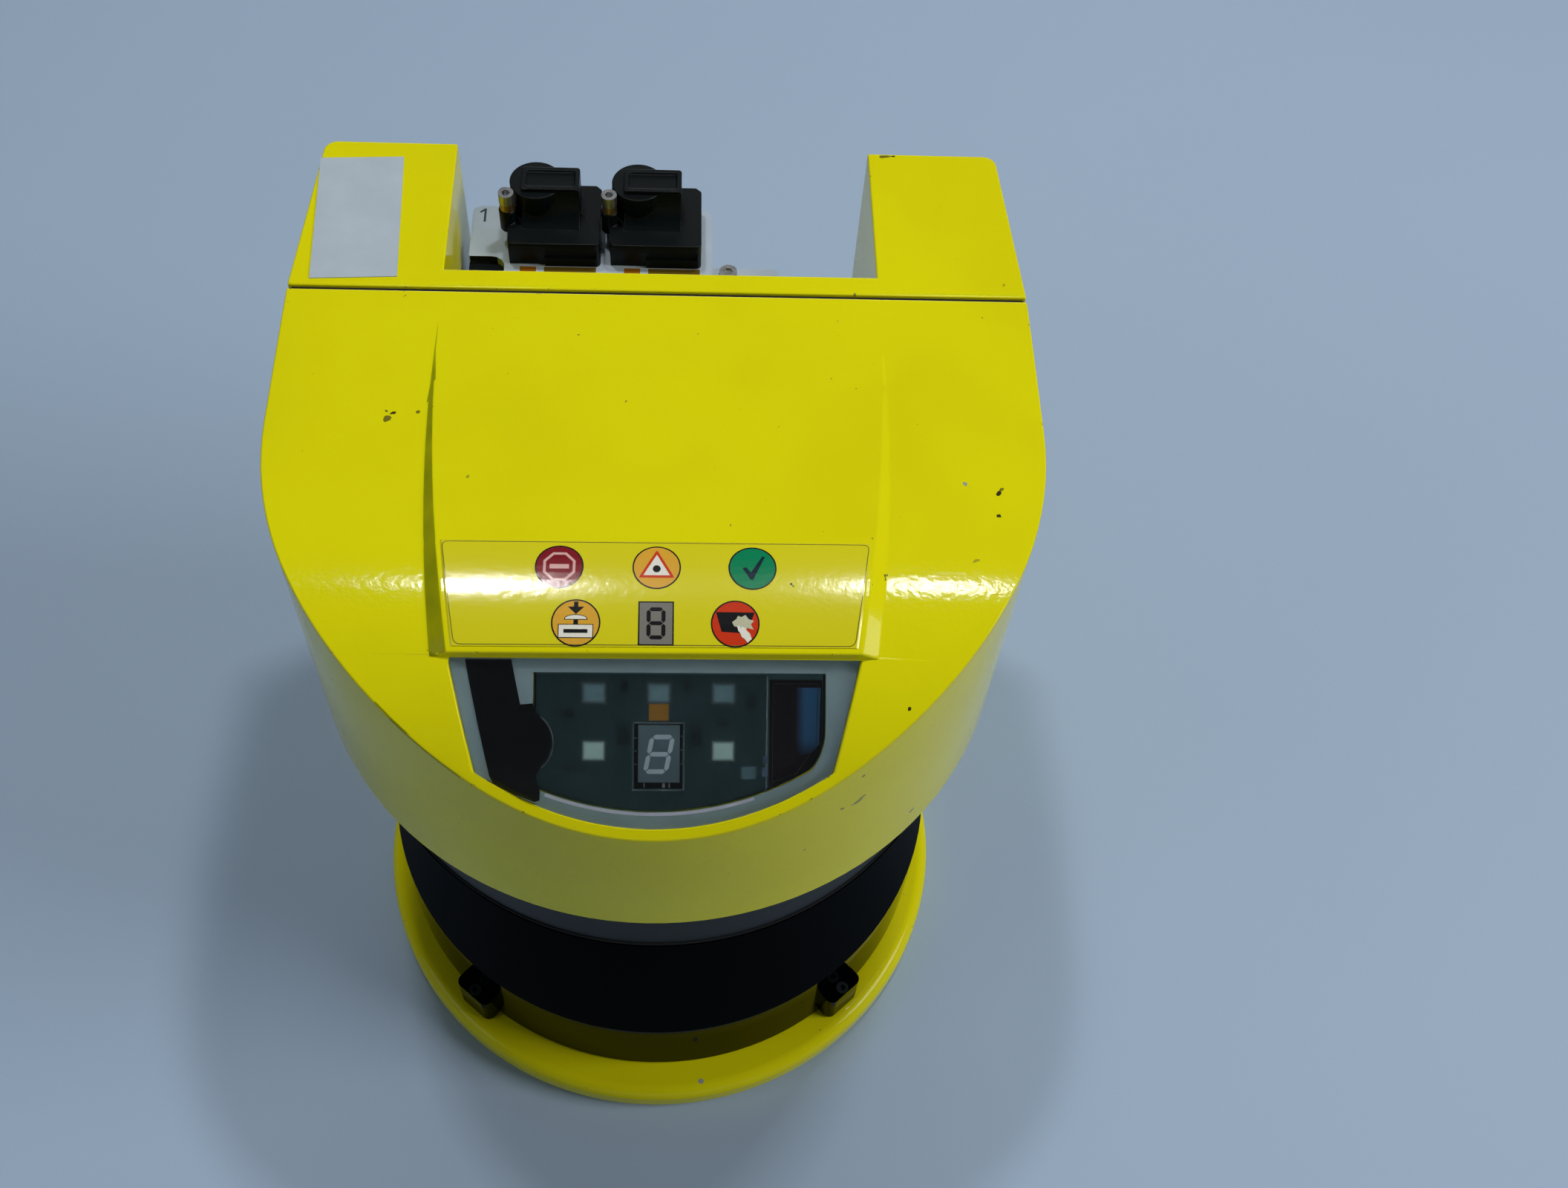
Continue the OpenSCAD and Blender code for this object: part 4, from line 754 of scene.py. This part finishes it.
def add_label_print(inks):
    black, white, amber = inks["black"], inks["white"], inks["amber"]
    rear_row, front_row = -27.6, -38.6
    disc_r, rim = 4.55, 0.27

    def icon(x, y, fill):
        """A round icon about a place on the label: its thin rim and its disc."""
        sheet = Sheet(on_nose(x, y))
        sheet.add(black, circle(disc_r), circle(disc_r - rim), thickness=2)
        return sheet.add(fill, circle(disc_r - rim))

    sheet = icon(-18.2, rear_row, inks["dark_red"])
    octagon = circle(3.25, count=8, turn=math.radians(22.5))
    sheet.add(inks["rose"], octagon, inset(octagon, 0.5), level=1)
    sheet.add(inks["rose"], box_outline(0, 0, 3.6, 0.95), level=1)
    sheet.piece("icon_halt", "label_film")

    sheet = icon(0, rear_row, amber)
    triangle = [(-3.35, -2.2), (3.35, -2.2), (0, 3.7)]
    inner = inset(triangle, 0.5)
    sheet.add(inks["red"], rounded_outline(triangle, 0.3, 3), inner, level=1)
    sheet.add(white, inner, level=1)
    sheet.add(black, circle(0.75, (0, -0.35), 20), level=2)
    sheet.piece("icon_caution", "label_film")

    sheet = icon(18.0, rear_row, inks["green"])
    tick = [(-1.9, 0), (-0.45, -2.4), (0.1, -2.5), (2.4, 2.5), (1.85, 2.5), (-0.3, -0.95),
            (-1.15, 0.15)]
    sheet.add(inks["navy"], tick, level=1)
    sheet.piece("icon_ready", "label_film")

    # An arrow over a push button in its box
    sheet = icon(-14.8, front_row, amber)
    arrow = [(-0.4, 3.1), (-1.5, 3.1), (0, 1.65), (1.5, 3.1), (0.4, 3.1), (0.4, 4.1), (-0.4, 4.1)]
    sheet.add(black, arrow, level=1)
    cap = [(2.15, 0.55), *arc((2.15, 0.85), (0, 0.75), 0, 180, 13), (-2.15, 0.55)]
    sheet.add(black, cap, level=1)
    sheet.add(white, inset(cap, 0.14), level=2)
    sheet.add(black, box_outline(0, 0.12, 0.85, 0.85), level=1)
    sheet.add(black, box_outline(0, -1.6, 6.5, 2.65), level=2)
    sheet.add(white, box_outline(0, -1.6, 6.2, 2.35), level=3)
    sheet.add(black, box_outline(0, -1.6, 4.4, 0.7), level=4)
    sheet.piece("icon_restart", "label_film")

    sheet = Sheet(on_nose(0, front_row))
    edge = box_outline(0, 0, 6.6, 8.5)
    sheet.add(black, edge, inset(edge, 0.25), thickness=2)
    sheet.add(inks["grey"], inset(edge, 0.25))
    for bar in figure_eight(2.75, 5.4, 0.75):
        sheet.add(black, bar, level=1)
    sheet.piece("icon_figure", "label_film")

    # A hand that wipes a screen with a cloth
    sheet = icon(14.7, front_row, inks["red"])
    screen = [(-3.6, 2.25), (-2.55, -1.55), (0.75, -1.75), (2.8, 0), (3.6, 2.2)]
    cloth = [(-0.6, 0.3), (-0.2, -0.5), (0.7, -0.7), (1.5, -1.5), (2.3, -0.8), (3.4, -1.1),
             (2.9, -0.1), (3.5, 0.6), (2.5, 0.9), (1.9, 1.7), (1.1, 1.3), (0.5, 1.55), (0.2, 0.9)]
    hand = [(0.35, -0.5), (0.75, -0.35), (1.0, -0.95), (1.25, -0.5), (1.75, -0.75), (2.15, -1.3),
            (2.75, -1.9), (3.05, -2.9), (2.3, -3.6), (1.75, -2.9), (1.2, -2.5), (0.9, -1.75),
            (0.55, -1.35)]
    sheet.add(black, screen, level=1)
    sheet.add(inks["cloth"], cloth, level=2)
    sheet.add(white, hand, level=3)
    sheet.piece("icon_wipe", "label_film")

    # The thin line round the sheet
    sheet = Sheet(on_nose(0, -22), step=2.5)
    outline = rounded_outline([(-40.5, -0.2), (-37.1, -21.15), (37.1, -21.15), (40.5, -0.2)], 1.4)
    sheet.add(inks["line"], outline, inset(outline, 0.16))
    sheet.piece("label_line", "label_film")


# ---- the display ----

def display_sheet(w):
    """A sheet on a level of the display, which is flat and needs no cuts."""
    return Sheet(on_display(w), step=60)


def add_smoke_sheet(inks):
    """The frosted sheet over the board, cut out round the figure display, and its pale edges."""
    smoke = Surface("smoke_sheet", (0.42, 0.53, 0.55), roughness=0.42, transmission=1.0, ior=1.3)
    smoke.roughness(smoke.noise(120, detail=3), 0.38, 0.46)
    left, right, top = -22.3, 20.8, 6.9
    bottom = [(x, -18.6 + (x + 0.5) ** 2 / 114) for x in range(-22, 21, 3)]
    outline = [(left, bottom[0][1]), *bottom, (right, bottom[-1][1]), (right, top), (left, top)]
    sheet = display_sheet(SMOKE_W)
    sheet.add(smoke, outline, FIGURE_WINDOW, thickness=15)
    sheet.piece("display_smoke_sheet", "pane_clear")

    trim = display_sheet(SMOKE_TRIM_W)
    trim.add(inks["smoke_edge"], inset(FIGURE_WINDOW, -0.12), FIGURE_WINDOW, thickness=4)
    trim.add(inks["smoke_edge"], box_outline(20.95, -5.2, 0.22, 23.6), thickness=4)
    trim.add_boxes(inks["pin_blue"], ((20.7, -8.9, 0.9, 1.4), (20.7, -11.2, 1.1, 1.8)), level=5)
    trim.piece("display_smoke_edge", "pane_clear")


def add_board_parts(inks):
    """The figure display's black body with its pins, and dim shapes of parts under the sheet."""
    body = display_sheet(FIGURE_BODY_W)
    body.add(inks["chip"], box_outline(0.58, -8.4, 9.1, 12.1))
    front_pins = ((-2.05, -13.8, 0.25, 0.7), (1.6, -13.8, 0.5, 0.8), (2.65, -13.8, 0.2, 0.8))
    left_pins = ((-3.7, -5.0, 0.3, 0.2), (-3.7, -7.4, 0.3, 0.2), (-3.7, -9.9, 0.3, 0.2))
    right_pins = ((4.95, -4.6, 0.25, 0.2), (4.95, -7.2, 0.25, 0.2), (4.95, -9.8, 0.25, 0.2))
    body.add_boxes(inks["solder"], front_pins + left_pins + right_pins, level=1)
    body.piece("display_figure_body", "plastic_black")

    shapes = ((-17, -0.5, 3.2, 1.6), (-6.2, -4.8, 2.4, 3.6), (7.6, -4.6, 2.2, 4.2),
              (-15.2, -10.8, 4.0, 1.2), (6.0, 4.6, 1.4, 2.4), (-6.0, 4.4, 1.4, 2.4),
              (12.7, -2.4, 2.0, 1.2), (18.0, 1.6, 1.6, 3.0))
    parts = display_sheet(BOARD_W)
    parts.add_boxes(inks["solder_dim"], shapes, thickness=40)
    parts.piece("display_small_parts", "board_dark")


def add_lamp_glow():
    """Painted light that spreads in the frosted sheet round each lamp, as rings that are fainter
    outwards and dimmer round the rear row as painted shade, and the amber lamp between the rows."""
    # Painted glow for each row of lamps, the rear row's dimmer as painted shade
    rows = (("rear", (-1, 0, 1), REAR_LAMP_U, 0.45, (0.085, 0.125, 0.14)),
            ("front", (-1, 1), FRONT_LAMP_U, 0.3, (0.33, 0.39, 0.37)))
    halo = display_sheet(GLOW_W)
    for row, columns, u, step, colour in rows:
        rings = [glowing_ink(f"ink_{row}_{k}", tuple(0.012 + c * share for c in colour), 1.1)
                 for k, share in enumerate((0.62, 0.34, 0.16, 0.06))]
        for i in columns:
            x = LAMP_X + i * LAMP_PITCH
            for k, ring in enumerate(rings):
                w, h = 3.4 + k * step, 2.8 + k * step
                halo.add(ring, box_outline(x, u, w + step, h + step), box_outline(x, u, w, h))
    halo.piece("display_lamp_glow", "lamp_milky")

    amber = glowing_ink("lamp_amber", (0.62, 0.22, 0.015), 0.35, roughness=0.4)
    lamp = display_sheet(AMBER_W)
    lamp.add(amber, box_outline(LAMP_X, -0.2, 3.7, 3.1))
    lamp.piece("display_amber_lamp", "lamp_milky")


def add_filter_trim(inks):
    """The tinted plate's engraved line and a painted blue reflection on the plate, which fades out
    along its edge.
    """
    plate, reflected_blue = (0.012, 0.006, 0.007), (0.03, 0.10, 0.22)
    # A painted blue reflection on the tinted plate, faded out towards its edges
    blue = Surface("filter_blue", reflected_blue, roughness=0.15)
    axes = blue.axes()
    across = blue.ramp(blue.math("MULTIPLY", axes["X"], 1 / (40 * MM)), 0.65, 0.715)
    along = blue.ramp(blue.math("MULTIPLY", axes["Y"], -1 / (80 * MM)), 0.67, 0.72)
    blue.colour(blue.mix(along, blue.mix(across, plate, reflected_blue), plate))
    trim = display_sheet(FILTER_W)
    line = [(22.0, -13.2), (26.6, -11.6), (30.4, -6.2), (30.6, 5.4), (22.0, 5.4)]
    trim.add(inks["filter_line"], line, inset(line, 0.14))
    trim.add(blue, [(25.6, -8.4), (29.6, -7.6), (30.9, -6.0), (31.1, 4.6), (25.6, 4.6)])
    trim.piece("display_filter_trim", "filter_red")


def add_display_rims(inks):
    """Painted highlights: the bright shine along the cut edge at the bottom of the opening and on the
    rim of the mask's tab.
    """
    edge_r = 57.0
    edge = Sheet(onto_display("display_gasket"), step=3)
    # A painted highlight along the gasket's cut edge
    edge.add(inks["cut_edge"], arc_band(edge_r, edge_r * 1.011, (0, edge_r - 18.9), -111, -71, 21))
    edge.piece("display_cut_edge", "gasket_grey")
    rim = Sheet(onto_display("display_mask"), step=3)
    # A painted highlight on the rim of the mask's tab
    rim.add(inks["mask_rim"], arc_band(5.98, 6.25, (-25, -5.5), -52, 52, 14))
    rim.piece("display_mask_rim", "foil_black")


def add_display_detail(inks):
    segments = Sheet(on_display(FIGURE_W), step=20)
    for bar in figure_eight(3.85, 6.45, 0.86, slant=0.2, middle=(0.72, -7.85)):
        segments.add(inks["segment"], bar)
    segments.piece("display_segments", "digit_grey")
    add_smoke_sheet(inks)
    add_board_parts(inks)
    add_lamp_glow()
    add_filter_trim(inks)
    add_display_rims(inks)


# ---- wear, the connector plate and threads ----

def fleck(rng, x, y, size, stretch, turn):
    """A ragged spot about a place, longer by stretch along the way that turn points."""
    count = 9
    points = []
    for i in range(count):
        angle = 2 * math.pi * i / count
        reach = size * rng.uniform(0.55, 1.0)
        a, b = reach * stretch * math.cos(angle), reach * math.sin(angle)
        points.append((x + a * math.cos(turn) - b * math.sin(turn),
                       y + a * math.sin(turn) + b * math.cos(turn)))
    return points


def add_wear(inks):
    """Flecks where the photograph shows them. Each row is an ink, then what fleck() takes."""
    rng = random.Random(11)
    dark, pale, olive, faint = (inks["chip_" + tone] for tone in ("dark", "pale", "olive", "faint"))
    groups = {
        "head": ("sensor_head_housing", [
            (olive, -53.6, 7.4, 0.9, 1.3, 0.9), (dark, -52.6, 8.9, 0.45, 1.6, 0.5),
            (olive, -53.9, 9.3, 0.4, 1.2, 2.2), (olive, -47.7, 9.2, 0.5, 1.2, 0.4),
            (faint, -36.7, -7.1, 0.4, 1.3, 1.1), (pale, 60.3, -6.6, 0.6, 1.0, 0.0),
            (dark, 66.8, -8.8, 0.7, 1.1, 1.3), (olive, 67.4, -7.8, 0.5, 1.5, 0.6),
            (dark, 66.3, -14.1, 0.55, 1.2, 0.2), (faint, 61.0, -24.5, 0.4, 2.2, 0.4),
            (dark, 47.4, -52.0, 0.4, 1.5, 1.0)]),
        "module": ("io_module_housing", [
            (olive, 49.6, 84.1, 0.55, 3.2, 0.1), (dark, 51.4, 84.3, 0.3, 2.0, 0.2),
            (faint, 72.9, 45.7, 0.4, 1.4, 1.2)]),
        "label": ("label_sheet", [
            (dark, 25.2, -30.9, 0.3, 1.2, 2.4), (olive, 25.6, -31.3, 0.25, 1.6, 2.0)]),
        "base": ("base_cover", [(pale, 11.0, -71.3, 0.85, 1.1, 0.3)])}
    for group, (node, flecks) in groups.items():
        sheet = Sheet(on_top(node), step=5)
        for material, *spot in flecks:
            sheet.add(material, fleck(rng, *spot))
        sheet.piece("wear_" + group, "yellow_enamel")

    # On the upright front, by the angle and the height
    head_centre_y = 6.5 * MM
    wall = Sheet(on_front("sensor_head_housing", head_centre_y), step=3)
    for spot in ((30.5, 152.3, 0.5, 2.8, 0.5), (31.2, 153.4, 0.4, 2.0, 0.4),
                 (27.8, 152.8, 0.35, 1.5, 2.6), (44.0, 125.5, 0.5, 1.6, 0.3),
                 (30.6, 163.2, 0.4, 1.3, 1.4)):
        wall.add(olive, fleck(rng, *spot))
    wall.piece("wear_front", "yellow_enamel")


def add_plate_print(inks):
    """The figure on the connector plate, and painted reflections of the shaded yellow bar, brass and
    orange strips on the plate in front of the connectors.
    """
    plate_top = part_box("connector_plate")[1].z

    def flat(a, b):
        return Vector((a * MM, b * MM, plate_top)), Vector((0, 0, 1))

    x, y = -41.4, 78.2
    one = [(0.25, 0), (0.75, 0), (0.75, 4.2), (0.35, 4.2), (-0.8, 3.2), (-0.6, 2.8), (0.25, 3.4)]
    figure = Sheet(flat, step=9)
    figure.add(inks["plate_ink"], [(x + a, y + b) for a, b in one])
    figure.piece("plate_figure", "plate_grey")

    # Painted reflections of the yellow bar, in shade, in the plate in front of each connector
    bar_reflections = Sheet(flat, step=20)
    for left in (-32.2, -8.9):
        bar_reflections.add(inks["orange_dim"], box_outline(left + 1.9, 63.2, 3.6, 2.8))
        bar_reflections.add(inks["gold_dim"], box_outline(left + 11.3, 63.2, 11.6, 2.8))
    bar_reflections.piece("plate_strips", "contact_gold")


def add_notch_trim(material):
    """The dark face of the notch at the front left of the connector plate."""
    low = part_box("connector_plate")[0]
    meet = facing("connector_plate")
    sheet = Sheet(lambda a, b: meet(Vector((a * MM, low.y + 1 * MM, b * MM)), Vector((0, 1, 0))))
    sheet.add(material, box_outline(-40.4, low.z / MM + 1, 6.2, 1.9))
    sheet.piece("plate_notch_trim", "plastic_black")


def add_rear_threads(material):
    """A threaded lining in each of the four blind holes of the rear face."""
    bolts = next(m for m in frame["record"]["mounts"] if m["name"] == "rear_bolts")
    half_x, half_z = (bolts["dims"][f"spacing_{axis}_mm"] / 2 * MM for axis in "xy")
    hole_r, centre_z, rear = bolts["dims"]["hole_r_mm"] * MM, bolts["pos_m"][2], module_high.y
    pitch, depth, lead_in, end_gap = 1.0 * MM, 7.8 * MM, 0.3 * MM, 1.4 * MM
    skin, ridge = 0.06 * MM, 0.34 * MM
    # One thread in section, each point by its share of the pitch and its radius
    profile = ((0.0, hole_r), (0.0, hole_r - skin), (0.5, hole_r - ridge), (1.0, hole_r - skin))
    size = len(profile)
    steps = 20
    turns = int(depth / pitch)
    for k, (sx, sz) in enumerate(((-1, -1), (1, -1), (-1, 1), (1, 1))):
        verts, faces = [], []
        for i in range(turns * steps + 1):
            angle = 2 * math.pi * i / steps
            for along, radius in profile:
                y = rear - lead_in - (i / steps + along) * pitch * (depth - end_gap) / depth
                verts.append((sx * half_x + radius * math.cos(angle), y,
                              centre_z + sz * half_z + radius * math.sin(angle)))
        for i in range(turns * steps):
            for j in range(size - 1):
                a, b = i * size + j, (i + 1) * size + j
                faces.append((a, a + 1, b + 1, b))
        mesh = bpy.data.meshes.new("rear_thread")
        mesh.from_pydata(verts, [], faces)
        mesh.materials.append(material.material)
        add_piece(f"rear_thread_{k + 1}", mesh, "screw_steel")


# ---- the castings and the connectors, with rounded edges ----

def left_flank(centre, normal):
    """The narrow slope along the left of the raised panel, which faces away from the lights and gets
    dirt and painted shade.
    """
    return (-50 * MM < centre.x < -36 * MM and centre.z > 150 * MM
            and -0.95 < normal.x < -0.2 and normal.z > 0.2)


def add_rounded_copies(materials):
    paint, black = "yellow_enamel", "plastic_black"
    edge_r, connector_edge_r = 0.4 * MM, 0.22 * MM
    painted = [materials[paint], yellow_enamel("yellow_enamel_edge", chips=0.66)]
    # Dirt and painted shade on the left flank of the panel, which faces away from the lights
    flank_soil_and_shade = yellow_enamel("yellow_enamel_grimy", soil_and_shade=0.42, specular=0.05)
    rounded_copy("sensor_head_housing", edge_r, paint, [*painted, flank_soil_and_shade], left_flank)
    for node in ("io_module_housing", "base_cover"):
        rounded_copy(node, edge_r, paint, painted)
    for node in ("connector_left", "connector_right"):
        rounded_copy(node, connector_edge_r, black, [materials[black]])


add_camera()
add_lights()
add_floor()
materials = make_materials()
dress_frame(materials)
inks = make_inks()
add_rounded_copies(materials)
add_label_print(inks)
add_display_detail(inks)
add_wear(inks)
add_plate_print(inks)
add_rear_threads(materials["screw_steel"])
add_notch_trim(inks["black"])
